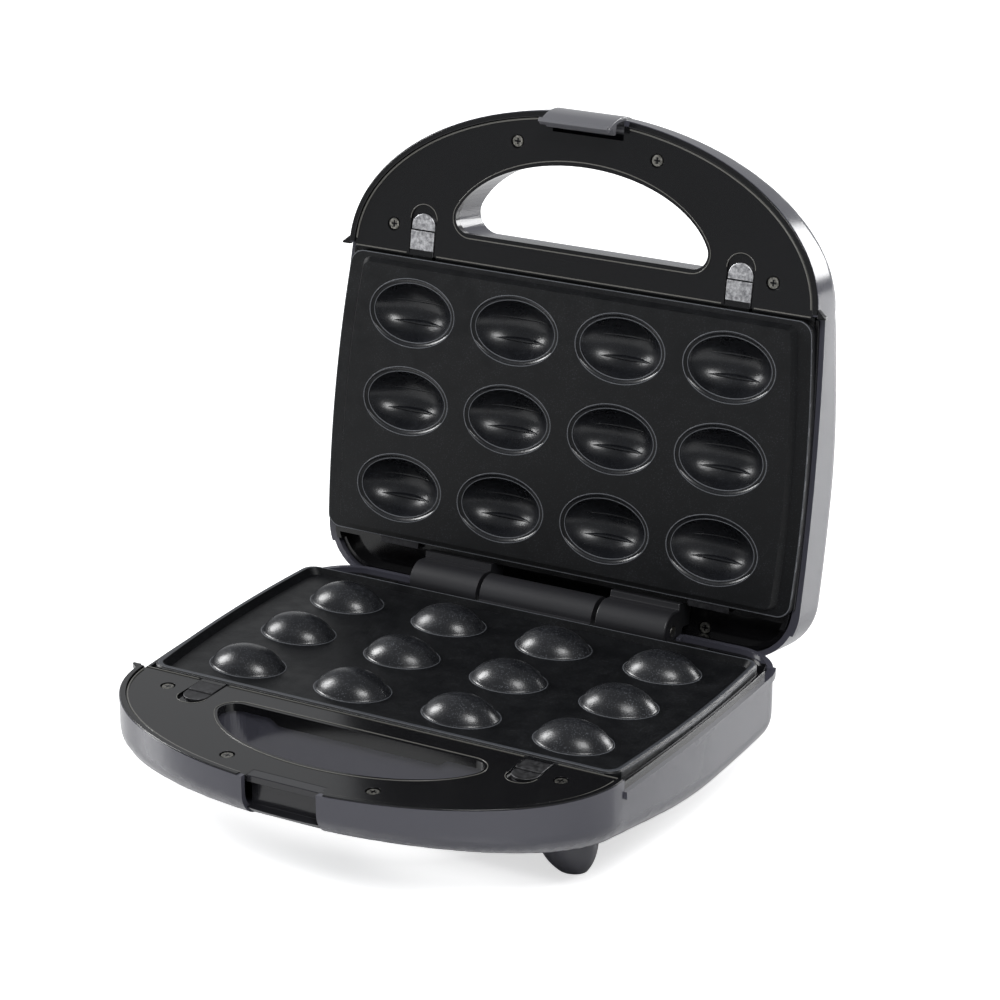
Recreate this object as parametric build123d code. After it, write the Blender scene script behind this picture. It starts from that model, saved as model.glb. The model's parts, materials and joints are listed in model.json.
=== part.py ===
from build123d import *
from math import cos, radians, sin, sqrt, tan
import os

# A hinged nut-mould sandwich maker, standing on its feet with the lid open.
# X is to the right, Y to the back, Z up. The origin is on the surface it stands
# on, under the middle of the open maker's outer box. All sizes are in millimetres.
#
# Both halves are modelled face up, with the middle of the cooking plate at Y 0,
# the parting plane at height 0 and the half reaching down from it. The base is
# then moved to its place. The lid is turned face down onto the base, and swung
# open about the hinge.

# Driving sizes of a half
HALF_DEPTH = 39.1
FOOT_DROP = 12.5
PLATES_TO_MIDDLE = 2.5
SIDE_FRONT = 117.0
SIDE_MIDDLE = 119.8
SIDE_REAR = 118.2
REAR_Y = 88.0
HANDLE_START_Y = -68.0
HANDLE_REACH = 73.0
REAR_CORNER_R = 25.0
EDGE_R = 12.0
WALL = 2.5
SLOPE_START_Y = -5.0
SLOPE_ANGLE = 8.5
SLOPE_BLEND_R = 300.0
HANDLE_RIM = 0.9
SIDE_RIM = 6.1
FLANGE_PROUD = 1.2
FLANGE_HEIGHT = 3.2
FLANGE_END_Y = 74.0

# Handle hole
HOLE_FLAT_Y = -80.0
HOLE_HALF_WIDTH = 64.5
HOLE_REACH = 37.0
HOLE_CORNER_R = 7.0
TUNNEL_WALL = 2.2
HOLE_LIP = 1.6
LIP_DEPTH = 1.0
APRON_HALF = 43.0
APRON_DEPTH = 3.8
APRON_CORNER = (4.5, 3.0)

# Cover frame
FRAME_GAP = 0.5
FRAME_FACE = 1.4
FRAME_THICK = 2.5
RAIL_TOP = 4.3
RAIL_THICK = 1.5
SKIRT_THICK = 2.0
SKIRT_DEPTH = 12.0
RECESS_DEPTH = 14.0
RECESS_START_Y = 66.5
REAR_SKIRT_TOP = 8.5
PLATE_GAP = 0.6

# Cooking plates
# A plate's outline: half widths at front, middle and rear, then front and rear Y
LOWER_OUTLINE = (111.8, 116.3, 114.8, -66.5, 64.8)
UPPER_OUTLINE = (114.7, 119.0, 117.5, -65.4, 65.3)
PLATE_CORNER_R = 6.0
# Insets from the lower outline: first for the front and sides, then for the rear
RIM_WIDTH = (2.4, 1.2)
TRAY_FLOOR_EDGE = (4.6, 2.0)
PLATEAU_ROOT = (3.2, 2.0)
PLATEAU_EDGE = (5.4, 2.8)
TRAY_DEPTH = 3.1
RIM_BELOW = 0.3
RIM_CHAMFER = 0.6
PAN_INSET = 8.5
PAN_FLOOR = 3.7
PAN_BELOW_RAIL = 0.5
NUT_COLUMNS = 4
NUT_ROWS = 3
COLUMN_PITCH = 53.0
ROW_PITCH = 40.72
NUT_HALF_LENGTH = 17.1
NUT_HALF_WIDTH = 12.5
NUT_HEIGHT = 9.0
NUT_SKIN = 3.0
CAVITY_HALF_LENGTH = 20.3
CAVITY_HALF_WIDTH = 13.7
CAVITY_DEPTH = 11.0
CAVITY_SKIN = 2.5
LAND_HALF_LENGTH = 22.0
LAND_HALF_WIDTH = 15.6
LAND_DEPTH = 0.9
CREASE_HALF_LENGTH = 13.0
CREASE_HALF_WIDTH = 1.1
CREASE_HEIGHT = 1.2
CREASE_SHIFT = 7.5
PLATE_CLEARANCE = 0.8
PLATEAU_SKIN = 3.0

# Hinge
HINGE_Y = 80.6
HINGE_BELOW = 2.8
OPEN_ANGLE = 99.1
BARREL_R = 9.0
PIN_R = 2.5
RUNNING_GAP = 0.05
BASE_BARREL_HALF = 28.5
BARREL_GAP = 2.0
LID_BARREL_LENGTH = 34.5
BARREL_ROOM = 2.5
BLOCK_DEPTH_Y = 12.0
WIRE_BORE_R = 1.6
WIRE_BORE_DEPTH = 5.0
WIRE_WAY_INSET = 4.0
WIRE_WAY_Y = 72.5

# Screws
SCREW_SPOTS = [(94.5, -79.5), (34.5, -124.5)]
REAR_SCREW_SPOT = (72.5, 80.5)
SCREW_HEAD_R = 3.2
SCREW_R = 1.5
SCREW_HEAD = 1.7
SCREW_LENGTH = 12.0
BOSS_R = 3.8
DRIVE_DEPTH = 1.1
DRIVE_WIDTH = 0.9

# Plate release tabs
TAB_X = 79.0
TAB_WIDTH = 12.0
TAB_TRAVEL = 3.5
TAB_END_Y = -86.0
TAB_TOP = 1.0
TAB_THICK = 1.5
TONGUE_TOP = 1.8
TAB_STEP = 0.5
TAB_BEND = -2.0
TAB_OVERLAP = 2.4
TAB_PLAY = 0.6
BED_THICK = 2.0
LEG_THICK = 1.5
LEG_Y = -80.0
LEG_REACH = 6.4
SPRING_R = 1.65
SPRING_WIRE_R = 0.25
SPRING_PITCH = 1.5
SPRING_LENGTH = 8.6

# Clasp
NOTCH_HALF = 17.5
NOTCH_BACK_Y = -131.0
NOTCH_DEPTH = 14.5
CLASP_PLAY = 0.6
CLASP_PIVOT_Y = -135.0
CLASP_PIVOT_DEPTH = 8.5
CLASP_PIN_R = 1.2
CLASP_EYE_R = 2.4
CHEEK_WIDTH = 4.0
KEEPER_FACE = 1.4
KEEPER_BACK_Y = -132.8
BAR_FRONT_Y = -136.6
BAR_BOTTOM = 4.4
HOOK_TOP = 5.0
HOOK_BOTTOM = 8.0
HOOK_TIP_Y = -133.6
KEEPER_FLOOR = 15.5
KEEPER_INSET = 0.8

# Heating
HEATER_R = 3.25
HEATER_END_X = 97.5
HEATER_BEND_R = 14.0
HEATER_LEG_R = 6.0
HEATER_LEG_DROP = 12.0
UPPER_HEATER_DEPTH = 10.5
TERMINAL_R = 1.5
TERMINAL_LENGTH = 5.0
REFLECTOR_SHEET = 0.8
REFLECTOR_INSET = 7.6
REFLECTOR_LIP = 2.5
REFLECTOR_ROOM = 3.0
SUPPORT_LENGTH = 8.0
SUPPORT_WIDTH = 9.0
REFLECTOR_SCREW_R = 1.2
REFLECTOR_SCREW_HEAD_R = 2.0
REFLECTOR_SCREW_X = 50.0

# Electrical parts
THERMOSTAT_R = 8.0
THERMOSTAT_HEIGHT = 7.0
THERMOSTAT_SPOT = (-30.0, 0.0)
BLADE_LENGTH = 4.0
BLADE_SPREAD = 4.0
FUSE_R = 2.2
FUSE_LENGTH = 16.0
FUSE_LEAD = 4.0
FUSE_SPOT = (-62.0, 38.0)
BLOCK_SIZE = (34.0, 16.0, 12.0)
BLOCK_SPOT = (-40.0, 56.0)
INLET_X = -58.0
INLET_DEPTH = 23.2
INLET_BORE_R = 3.6
INLET_WALL = 1.4
INLET_FLANGE = 3.0
INLET_LENGTH = 16.0
INLET_SEAT_GAP = 0.4
WIRE_R = 1.3
WIRE_BEND_R = 2.0
LENS_R = 3.0
LENS_SPREAD = 9.0
LENS_Y = 52.0
LENS_PROUD = 1.0
LENS_FLANGE = 1.0
LAMP_R = 2.6
LAMP_LENGTH = 12.0

# Feet
FRONT_FOOT = (86.2, -57.6)
REAR_FOOT = (80.0, 60.0)
FOOT_TOP = (12.5, 10.5)
FOOT_TREAD = (6.5, 5.6)
FOOT_LEAN = 2.5
FOOT_SCREW_SINK = 3.0
FOOT_BOSS = 6.0

# Values that follow from the driving sizes
PARTING_Z = HALF_DEPTH + FOOT_DROP
HINGE_Z = PARTING_Z - HINGE_BELOW
PLATE_FRONT_Y = LOWER_OUTLINE[3]
PLATE_REAR_Y = LOWER_OUTLINE[4]
TRAY_FLOOR = -RIM_BELOW - TRAY_DEPTH
SEAT_LEVEL = -RAIL_TOP
PLATEAU_FACE = -TRAY_FLOOR - PLATE_CLEARANCE
FLANGE_FACE = RIM_BELOW - PLATE_CLEARANCE
FRAME_INSET = WALL + FRAME_GAP
FRAME_FRONT_EDGE = PLATE_FRONT_Y - PLATE_GAP
FRAME_UNDER = FRAME_FACE + FRAME_THICK
RAIL_UNDER = RAIL_TOP + RAIL_THICK
CHANNEL_FRONT_Y = RECESS_START_Y + SKIRT_THICK
BARRELS_HALF = BASE_BARREL_HALF + BARREL_GAP + LID_BARREL_LENGTH
SWEEP_DEPTH = HINGE_BELOW + BARREL_R + BARREL_ROOM
HEATER_LEG_Y = ROW_PITCH / 2
TAB_UNDER = TAB_TOP + TAB_THICK
LUG_TOP = TAB_UNDER + 3 * RUNNING_GAP
LUG_BOTTOM = RAIL_TOP + RAIL_THICK / 2
LAMP_TIP_Z = -HALF_DEPTH + WALL + LENS_FLANGE + LAMP_LENGTH
FAR = 400.0


def block(x0, x1, y0, y1, z0, z1):
    """A box given by its two corners."""
    spot = Pos((x0 + x1) / 2, (y0 + y1) / 2, (z0 + z1) / 2)
    return spot * Box(abs(x1 - x0), abs(y1 - y0), abs(z1 - z0))


def pillar(x, y, z0, z1, radius):
    """An upright cylinder between two heights."""
    return Pos(x, y, (z0 + z1) / 2) * Cylinder(radius, abs(z1 - z0))


def rod(x0, x1, y, z, radius):
    """A cylinder along X between two places."""
    return Pos((x0 + x1) / 2, y, z) * Rot(0, 90, 0) * Cylinder(radius, abs(x1 - x0))


def slab(face, top, bottom):
    """A face drawn at height 0, made solid between two heights."""
    return Pos(0, 0, bottom) * extrude(face, amount=top - bottom)


def spheroid(half_length, radius):
    """A ball stretched along X."""
    arc = EllipticalCenterArc((0, 0), half_length, radius, 0, arc_size=180)
    chord = Line((-half_length, 0), (half_length, 0))
    return revolve(make_face([arc, chord]), axis=Axis.X)


def cap_spheroid(half_length, half_width, height):
    """The stretched ball whose cap has this base and height, and how far its middle lies below the base."""
    radius = (half_width ** 2 + height ** 2) / (2 * height)
    sink = radius - height
    share = sqrt(1 - (sink / radius) ** 2)
    return half_length / share, radius, sink


def side_arc(front, middle, rear):
    """A long gentle arc along one side."""
    return ThreePointArc(front, middle, rear)


def housing_outline(inset):
    """The plan of a half: square rear with round corners, bowed sides, rounded handle end."""
    front = (SIDE_FRONT - inset, HANDLE_START_Y)
    middle = (SIDE_MIDDLE - inset, 0)
    rear = (SIDE_REAR - inset, REAR_Y - inset)
    right = side_arc(front, middle, rear)
    back = Line(rear, (-rear[0], rear[1]))
    left = side_arc((-rear[0], rear[1]), (-middle[0], 0), (-front[0], front[1]))
    handle = EllipticalCenterArc((0, HANDLE_START_Y), front[0], HANDLE_REACH - inset, 180, arc_size=180)
    face = make_face([right, back, left, handle])
    rear_corners = face.vertices().sort_by(Axis.Y)[-2:]
    return fillet(rear_corners, REAR_CORNER_R - inset)


def bowed_outline(outline, inset, rear_inset):
    """The plan of a plate from its outline sizes, moved inwards, with bowed sides."""
    front_half = outline[0] - inset
    middle_half = outline[1] - inset
    rear_half = outline[2] - inset
    front = outline[3] + inset
    rear = outline[4] - rear_inset
    right = side_arc((front_half, front), (middle_half, 0), (rear_half, rear))
    back = Line((rear_half, rear), (-rear_half, rear))
    left = side_arc((-rear_half, rear), (-middle_half, 0), (-front_half, front))
    face = make_face([right, back, left, Line((-front_half, front), (front_half, front))])
    return fillet(face.vertices(), max(PLATE_CORNER_R - inset / 2, 1.5))


def plate_outline(inset):
    """The plan of the lower plate, moved inwards all round."""
    return bowed_outline(LOWER_OUTLINE, inset, inset)


def hole_outline(grow):
    """The plan of the handle hole: a half ellipse with a flat side and round corners."""
    half = HOLE_HALF_WIDTH + grow
    flat_y = HOLE_FLAT_Y + grow
    arc = EllipticalCenterArc((0, flat_y), half, HOLE_REACH + 2 * grow, 180, arc_size=180)
    face = make_face([arc, Line((half, flat_y), (-half, flat_y))])
    return fillet(face.vertices(), HOLE_CORNER_R + grow)


def housing_block(inset):
    """The body of a half as a solid, its underside rising towards the handle end, its edge rounded."""
    depth = HALF_DEPTH - inset
    body = slab(housing_outline(inset), 0, -depth)
    rise = (SLOPE_START_Y + FAR) * tan(radians(SLOPE_ANGLE))
    line = FilletPolyline(
        (FAR / 2, -depth), (SLOPE_START_Y, -depth), (-FAR, rise - depth), radius=SLOPE_BLEND_R
    )
    under = Polyline((-FAR, rise - depth), (-FAR, -FAR), (FAR / 2, -FAR), (FAR / 2, -depth))
    profile = Plane.YZ * make_face([line, under])
    body = body - extrude(profile, amount=FAR / 2, both=True)
    rim = [e for e in body.edges() if is_lower_edge(e, inset)]
    return fillet(rim, EDGE_R - inset)


def is_lower_edge(edge, inset):
    """Whether an edge runs round the underside of a half."""
    box = edge.bounding_box()
    below_rim = box.max.Z < -0.01
    across = box.size.Y < 0.01 and abs(box.center().Y) < REAR_Y - inset - 1
    upright = box.size.Z > 2 and box.size.X < 0.01 and box.size.Y < 0.01
    return below_rim and not across and not upright


def floor_level(y, inset=WALL):
    """The height of a half's inner floor at a place along Y."""
    rise = max(0.0, (SLOPE_START_Y - y) * tan(radians(SLOPE_ANGLE)))
    return -(HALF_DEPTH - inset) + rise


def both_sides(x):
    """A place and its mirror image."""
    return (-x, x)


def cover_screw_spots():
    """Where the cover frame's screws stand: four in the handle end, two behind the plate."""
    spots = [(s, y) for x, y in SCREW_SPOTS for s in both_sides(x)]
    return spots + [(s, REAR_SCREW_SPOT[1]) for s in both_sides(REAR_SCREW_SPOT[0])]


def seat_level(y):
    """The top of the cover frame under a screw head."""
    return -FRAME_FACE if y < 0 else -RECESS_DEPTH


def housing_shell(notch_depth):
    """The outer housing of a half, with its handle tunnel and screw bosses."""
    shell = housing_block(0) - housing_block(WALL)
    flange = slab(housing_outline(-FLANGE_PROUD), -SIDE_RIM, -SIDE_RIM - FLANGE_HEIGHT)
    flange = flange - slab(housing_outline(WALL / 2), 0, -HALF_DEPTH)
    flange = flange & block(-FAR, FAR, HANDLE_START_Y, FLANGE_END_Y, 0, -HALF_DEPTH)
    shell = shell + flange
    tunnel = slab(hole_outline(HOLE_LIP + FRAME_GAP + TUNNEL_WALL), -FRAME_UNDER, -HALF_DEPTH)
    shell = shell + (tunnel & housing_block(WALL / 2))
    for x, y in cover_screw_spots():
        top = seat_level(y) - FRAME_THICK
        shell = shell + pillar(x, y, top, floor_level(y) - WALL / 2, BOSS_R)
    shell = shell - slab(hole_outline(HOLE_LIP + FRAME_GAP), 1, -FAR)
    shell = shell - block(-FAR, FAR, -FAR, HANDLE_START_Y, -HANDLE_RIM, 10)
    shell = shell - block(-FAR, FAR, HANDLE_START_Y, FAR, -SIDE_RIM, 10)
    shell = shell - block(-NOTCH_HALF, NOTCH_HALF, -FAR, NOTCH_BACK_Y, -notch_depth, 10)
    for x, y in cover_screw_spots():
        shank_end = seat_level(y) - SCREW_LENGTH - 1
        shell = shell - pillar(x, y, 1, shank_end, SCREW_R + RUNNING_GAP)
    return shell - barrel_room(HINGE_Y + 2)


def barrel_room(front):
    """The space that the knuckles turn in, from a place along Y to the back."""
    half = BARRELS_HALF + BARREL_ROOM
    return block(-half, half, front, FAR, -SWEEP_DEPTH, 10)


def foot_level(y):
    """The height of the underside of a half at a place along Y."""
    return floor_level(y, 0)


def foot_spots():
    """The four feet, by name, with their place."""
    return {
        "front_left_foot": (-FRONT_FOOT[0], FRONT_FOOT[1]),
        "front_right_foot": FRONT_FOOT,
        "rear_left_foot": (-REAR_FOOT[0], REAR_FOOT[1]),
        "rear_right_foot": REAR_FOOT,
    }


def lower_shell():
    """The base's housing, with its opening for the lead and its foot bosses."""
    shell = housing_shell(HALF_DEPTH)
    inlet = Pos(INLET_X, REAR_Y, -INLET_DEPTH) * Rot(90, 0, 0)
    shell = shell - inlet * Cylinder(INLET_BORE_R + INLET_WALL, 6 * WALL)
    for x, y in foot_spots().values():
        shell = shell + pillar(x, y, floor_level(y) + FOOT_BOSS, floor_level(y) - WALL / 2, BOSS_R)
        hole_top = floor_level(y) + FOOT_BOSS - 1
        shell = shell - pillar(x, y, hole_top, -HALF_DEPTH - 1, SCREW_R + RUNNING_GAP)
    return shell


def upper_shell():
    """The lid's housing, with holes for the two pilot lights."""
    shell = housing_shell(NOTCH_DEPTH)
    for x in both_sides(LENS_SPREAD):
        shell = shell - pillar(x, LENS_Y, -HALF_DEPTH / 2, -HALF_DEPTH - 1, LENS_R)
    return shell


def tab_bed(x):
    """The raised pan under the cover face for one release tab, and the stop for its spring."""
    half = TAB_WIDTH / 2 + 3 * TAB_PLAY
    front = TAB_END_Y - TAB_TRAVEL - 1.5
    back = PLATE_FRONT_Y - TAB_OVERLAP - 2 * TAB_PLAY
    bottom = -TAB_UNDER - RUNNING_GAP - BED_THICK
    bed = block(x - half, x + half, front, back, -FRAME_UNDER + 0.5, bottom)
    stop_y = LEG_Y - LEG_THICK / 2 - SPRING_LENGTH - 2 * SPRING_WIRE_R - 2 * RUNNING_GAP
    stop_bottom = -TAB_UNDER - LEG_REACH
    stop = block(x - LEG_REACH / 2, x + LEG_REACH / 2, stop_y - 2, stop_y, bottom + 1, stop_bottom)
    return bed + stop


def tab_room(x):
    """The room in the cover face for one release tab, its leg and their travel."""
    half = TAB_WIDTH / 2 + TAB_PLAY
    end = TAB_END_Y + TAB_WIDTH / 2 - TAB_TRAVEL
    bottom = -TAB_UNDER - RUNNING_GAP
    room = block(x - half, x + half, end, FRAME_FRONT_EDGE + 1, bottom, 1)
    room = room + pillar(x, end, 1, bottom, half)
    travel_end = LEG_Y - LEG_THICK / 2 - TAB_TRAVEL - TAB_PLAY / 2
    slot_back = LEG_Y + LEG_THICK
    slot = block(x - LEG_REACH / 2, x + LEG_REACH / 2, travel_end, slot_back, 1, -FAR)
    return room + slot


def lug_room(x):
    """The cut in the frame under one front lug of the plate."""
    half = TAB_WIDTH / 2 - 1 + PLATE_GAP
    front = PLATE_FRONT_Y - TAB_OVERLAP - 2 * TAB_PLAY
    return block(x - half, x + half, front, PLATE_FRONT_Y + PAN_INSET, 1, -LUG_BOTTOM - 0.4)


def hinge_channel():
    """The deep channel behind the plate, which leaves the knuckles room to turn."""
    behind = block(-FAR, FAR, RECESS_START_Y, FAR, 1, -FAR)
    channel = slab(housing_outline(FRAME_INSET), -RAIL_TOP, -RECESS_DEPTH - FRAME_THICK) & behind
    inner = slab(housing_outline(FRAME_INSET + SKIRT_THICK), 1, -RECESS_DEPTH)
    channel = channel - (inner & block(-FAR, FAR, CHANNEL_FRONT_Y, FAR, 2, -FAR))
    channel = channel - block(-FAR, FAR, HINGE_Y - BARREL_R, FAR, -REAR_SKIRT_TOP, 1)
    half = BARRELS_HALF + BARREL_ROOM
    return channel - block(-half, half, HINGE_Y, FAR, -RECESS_DEPTH, 1)


def cover_frame(with_cheeks):
    """The inner frame of a half: handle face, rails round the plate and hinge channel."""
    region = housing_outline(FRAME_INSET)
    behind_face = FRAME_FRONT_EDGE - SKIRT_THICK
    frame = slab(region, -FRAME_FACE, -FRAME_UNDER) & block(-FAR, FAR, -FAR, FRAME_FRONT_EDGE, 1, -FAR)
    rib = slab(region, -FRAME_FACE, -RAIL_UNDER) & block(-FAR, FAR, behind_face, FRAME_FRONT_EDGE, 1, -FAR)
    rails = slab(region, -RAIL_TOP, -SKIRT_DEPTH)
    hollow = slab(housing_outline(FRAME_INSET + SKIRT_THICK), -RAIL_UNDER, -FAR)
    rails = (rails - hollow) & block(-FAR, FAR, behind_face, RECESS_START_Y + 1, 1, -FAR)
    frame = frame + rib + rails + hinge_channel()
    frame = frame - slab(plate_outline(PAN_INSET - PLATE_GAP), 1, -RECESS_DEPTH)
    frame = frame + slab(hole_outline(HOLE_LIP), -FRAME_FACE, -FRAME_UNDER - LIP_DEPTH)
    frame = frame + apron() - slab(hole_outline(0), 1, -FAR)
    for x in both_sides(TAB_X):
        frame = frame + tab_bed(x) - tab_room(x) - lug_room(x)
    frame = frame - block(-NOTCH_HALF, NOTCH_HALF, -FAR, NOTCH_BACK_Y, 1, -FAR)
    if with_cheeks:
        frame = frame + clasp_cheeks()
    for x, y in cover_screw_spots():
        top = seat_level(y)
        frame = frame - pillar(x, y, top + 1, top - FRAME_THICK - 1, SCREW_R + RUNNING_GAP)
        frame = frame - pillar(x, y, top + 1, top - SCREW_HEAD, SCREW_HEAD_R + RUNNING_GAP)
    for x, y in reflector_screw_spots():
        frame = frame - pillar(x, y, -RAIL_TOP - 0.8, -FAR, REFLECTOR_SCREW_R + RUNNING_GAP)
    for x, y in wire_way_spots(with_cheeks):
        frame = frame - pillar(x, y, -RECESS_DEPTH + 1, -FAR, WIRE_BORE_R)
    return frame


def apron():
    """The wall that hangs from the frame along the flat side of the handle hole."""
    half = APRON_HALF
    top = -FRAME_UNDER + 0.5
    bottom = -FRAME_UNDER - APRON_DEPTH
    across, up = APRON_CORNER
    edge = Polyline(
        (-half, top), (-half, bottom + up), (across - half, bottom),
        (half - across, bottom), (half, bottom + up), (half, top), close=True,
    )
    return Pos(0, HOLE_FLAT_Y + HOLE_LIP, 0) * extrude(Plane.XZ * make_face(edge), amount=HOLE_LIP)


def clasp_cheeks():
    """The two lugs in the lid's frame that hold the clasp's pin."""
    front = CLASP_PIVOT_Y - 1.5 * CLASP_PIN_R
    top = -FRAME_UNDER + 0.5
    bottom = -CLASP_PIVOT_DEPTH - 2.5 * CLASP_PIN_R
    outer = NOTCH_HALF + CHEEK_WIDTH
    cheeks = block(-outer, outer, front, NOTCH_BACK_Y + 2, top, bottom)
    cheeks = cheeks - block(-NOTCH_HALF, NOTCH_HALF, -FAR, FAR, 1, -FAR)
    return cheeks - rod(-outer + 1, outer - 1, CLASP_PIVOT_Y, -CLASP_PIVOT_DEPTH, CLASP_PIN_R)


def clasp_pin():
    """The pin that the clasp swings on."""
    half = NOTCH_HALF + CHEEK_WIDTH - 1
    return rod(-half, half, CLASP_PIVOT_Y, -CLASP_PIVOT_DEPTH, CLASP_PIN_R)


def clasp():
    """The swinging clasp: a bowed plate with a hook that catches under the keeper's bar."""
    outer = Spline((-139.4, -12.0), (-141.2, -6.0), (-141.3, 1.0), (-139.4, 8.0), (-136.9, 12.2))
    lip = Line((-136.9, 12.2), (-138.4, 14.0))
    lip_end = Line((-138.4, 14.0), (-136.6, 14.6))
    lip_in = Line((-136.6, 14.6), (-134.9, 12.2))
    inner = Spline((-134.9, 12.2), (-137.3, 7.6), (-139.1, 1.0), (-139.0, -6.0), (-137.4, -11.4))
    top = Line((-137.4, -11.4), (-139.4, -12.0))
    half = NOTCH_HALF - CLASP_PLAY
    body = extrude(Plane.YZ * make_face([outer, lip, lip_end, lip_in, inner, top]), amount=half, both=True)
    eye = rod(-half, half, CLASP_PIVOT_Y, -CLASP_PIVOT_DEPTH, CLASP_EYE_R)
    web = block(-half, half, -139.6, CLASP_PIVOT_Y, -CLASP_PIVOT_DEPTH - 1.2, -CLASP_PIVOT_DEPTH + 1.2)
    hook = Polyline((-138.4, HOOK_TOP), (HOOK_TIP_Y, HOOK_TOP), (HOOK_TIP_Y, HOOK_TOP + 1.2),
                    (-137.0, HOOK_BOTTOM + 1.5), (-138.2, HOOK_BOTTOM), close=True)
    catch = extrude(Plane.YZ * make_face(hook), amount=half, both=True)
    body = body + eye + web + catch
    return body - rod(-half - 1, half + 1, CLASP_PIVOT_Y, -CLASP_PIVOT_DEPTH, CLASP_PIN_R + RUNNING_GAP)


def clasp_keeper():
    """The insert in the base's front, with the bar that the clasp's hook catches."""
    half = NOTCH_HALF
    shape = housing_block(KEEPER_INSET) & block(-half, half, -FAR, NOTCH_BACK_Y, -KEEPER_FACE, -FAR)
    pocket = block(-FAR, FAR, -FAR, KEEPER_BACK_Y, -KEEPER_FACE + 1, -KEEPER_FLOOR)
    bar = block(-half, half, BAR_FRONT_Y, NOTCH_BACK_Y, -KEEPER_FACE, -BAR_BOTTOM)
    return shape - pocket + bar


def nut_spots():
    """The middles of the nut moulds."""
    for column in range(NUT_COLUMNS):
        for row in range(NUT_ROWS):
            x = (column - (NUT_COLUMNS - 1) / 2) * COLUMN_PITCH
            y = (row - (NUT_ROWS - 1) / 2) * ROW_PITCH
            yield x, y


def front_lugs():
    """The two lugs on a plate's front edge that the release tabs hold down."""
    half = TAB_WIDTH / 2 - 1
    front = PLATE_FRONT_Y - TAB_OVERLAP
    inside = PLATE_FRONT_Y + TRAY_FLOOR_EDGE[0]
    lugs = []
    for x in both_sides(TAB_X):
        lugs.append(block(x - half, x + half, front, inside, -LUG_TOP, -LUG_BOTTOM))
        lugs.append(block(x - half, x + half, PLATE_FRONT_Y + 1.3, inside, -LUG_TOP + 0.5, -LUG_BOTTOM))
    return lugs


def rear_tongues():
    """The two tongues on a plate's rear edge that slip under the hooks."""
    return [
        block(x - 9, x + 9, PLATE_REAR_Y - 1, PLATE_REAR_Y + 2.2, -TONGUE_TOP, -TONGUE_TOP - 1)
        for x in both_sides(TAB_X)
    ]


def lower_plate():
    """The tray with the raised half nuts, hollow underneath."""
    plate = slab(plate_outline(0), -RIM_BELOW, SEAT_LEVEL)
    outer_top = plate.faces().sort_by(Axis.Z)[-1]
    plate = chamfer(outer_top.edges(), RIM_CHAMFER)
    plate = plate + slab(plate_outline(PAN_INSET), TRAY_FLOOR, TRAY_FLOOR - PAN_FLOOR)
    tray = loft([
        Pos(0, 0, TRAY_FLOOR) * bowed_outline(LOWER_OUTLINE, *TRAY_FLOOR_EDGE),
        Pos(0, 0, -RIM_BELOW) * bowed_outline(LOWER_OUTLINE, *RIM_WIDTH),
    ])
    plate = plate - tray
    length, radius, sink = cap_spheroid(NUT_HALF_LENGTH, NUT_HALF_WIDTH, NUT_HEIGHT)
    ball = spheroid(length, radius)
    dome = ball & block(-FAR, FAR, -FAR, FAR, sink - PAN_FLOOR / 2, FAR)
    hollow = spheroid(length - NUT_SKIN, radius - NUT_SKIN)
    for x, y in nut_spots():
        plate = plate + Pos(x, y, TRAY_FLOOR - sink) * dome
        plate = plate - (Pos(x, y, TRAY_FLOOR - sink) * hollow)
    for lug in front_lugs() + rear_tongues():
        plate = plate + lug
    return plate


def cavity_crease(length, radius):
    """The narrow ridge along the hinge side of a nut cavity, following its bowl."""
    half = CREASE_HALF_LENGTH
    upper = ThreePointArc((-half, 0), (0, CREASE_HALF_WIDTH), (half, 0))
    lower = ThreePointArc((half, 0), (0, -CREASE_HALF_WIDTH), (-half, 0))
    lens = Pos(0, CREASE_SHIFT, 0) * slab(make_face([upper, lower]), -radius / 3, -2 * radius)
    lens = lens & spheroid(length + 0.3, radius + 0.3)
    return lens - spheroid(length - CREASE_HEIGHT, radius - CREASE_HEIGHT)


def upper_plate():
    """The plateau with the nut cavities, each with a crease along it."""
    plate = slab(bowed_outline(UPPER_OUTLINE, 0, 0), FLANGE_FACE, SEAT_LEVEL)
    plateau = loft([
        Pos(0, 0, FLANGE_FACE - 0.5) * bowed_outline(LOWER_OUTLINE, *PLATEAU_ROOT),
        Pos(0, 0, PLATEAU_FACE) * bowed_outline(LOWER_OUTLINE, *PLATEAU_EDGE),
    ])
    plate = plate + plateau
    plate = plate + slab(plate_outline(PAN_INSET), FLANGE_FACE, -RAIL_UNDER - PAN_BELOW_RAIL)
    plate = plate - slab(plate_outline(PAN_INSET + PLATEAU_SKIN), PLATEAU_FACE - PLATEAU_SKIN, -FAR)
    length, radius, sink = cap_spheroid(CAVITY_HALF_LENGTH, CAVITY_HALF_WIDTH, CAVITY_DEPTH)
    cup = spheroid(length + CAVITY_SKIN, radius + CAVITY_SKIN)
    cup = cup & block(-FAR, FAR, -FAR, FAR, -FAR, -sink - PLATEAU_SKIN / 2)
    bowl = spheroid(length, radius)
    land = loft([
        Pos(0, 0, -LAND_DEPTH) * Ellipse(CAVITY_HALF_LENGTH - 0.2, CAVITY_HALF_WIDTH - 0.2),
        Ellipse(LAND_HALF_LENGTH, LAND_HALF_WIDTH),
    ])
    crease = cavity_crease(length, radius)
    for x, y in nut_spots():
        plate = plate + Pos(x, y, PLATEAU_FACE + sink) * cup
    for x, y in nut_spots():
        plate = plate - Pos(x, y, PLATEAU_FACE + sink) * bowl
        plate = plate - Pos(x, y, PLATEAU_FACE) * land
        plate = plate + Pos(x, y, PLATEAU_FACE + sink) * crease
    for lug in front_lugs() + rear_tongues():
        plate = plate + lug
    return plate


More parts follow.
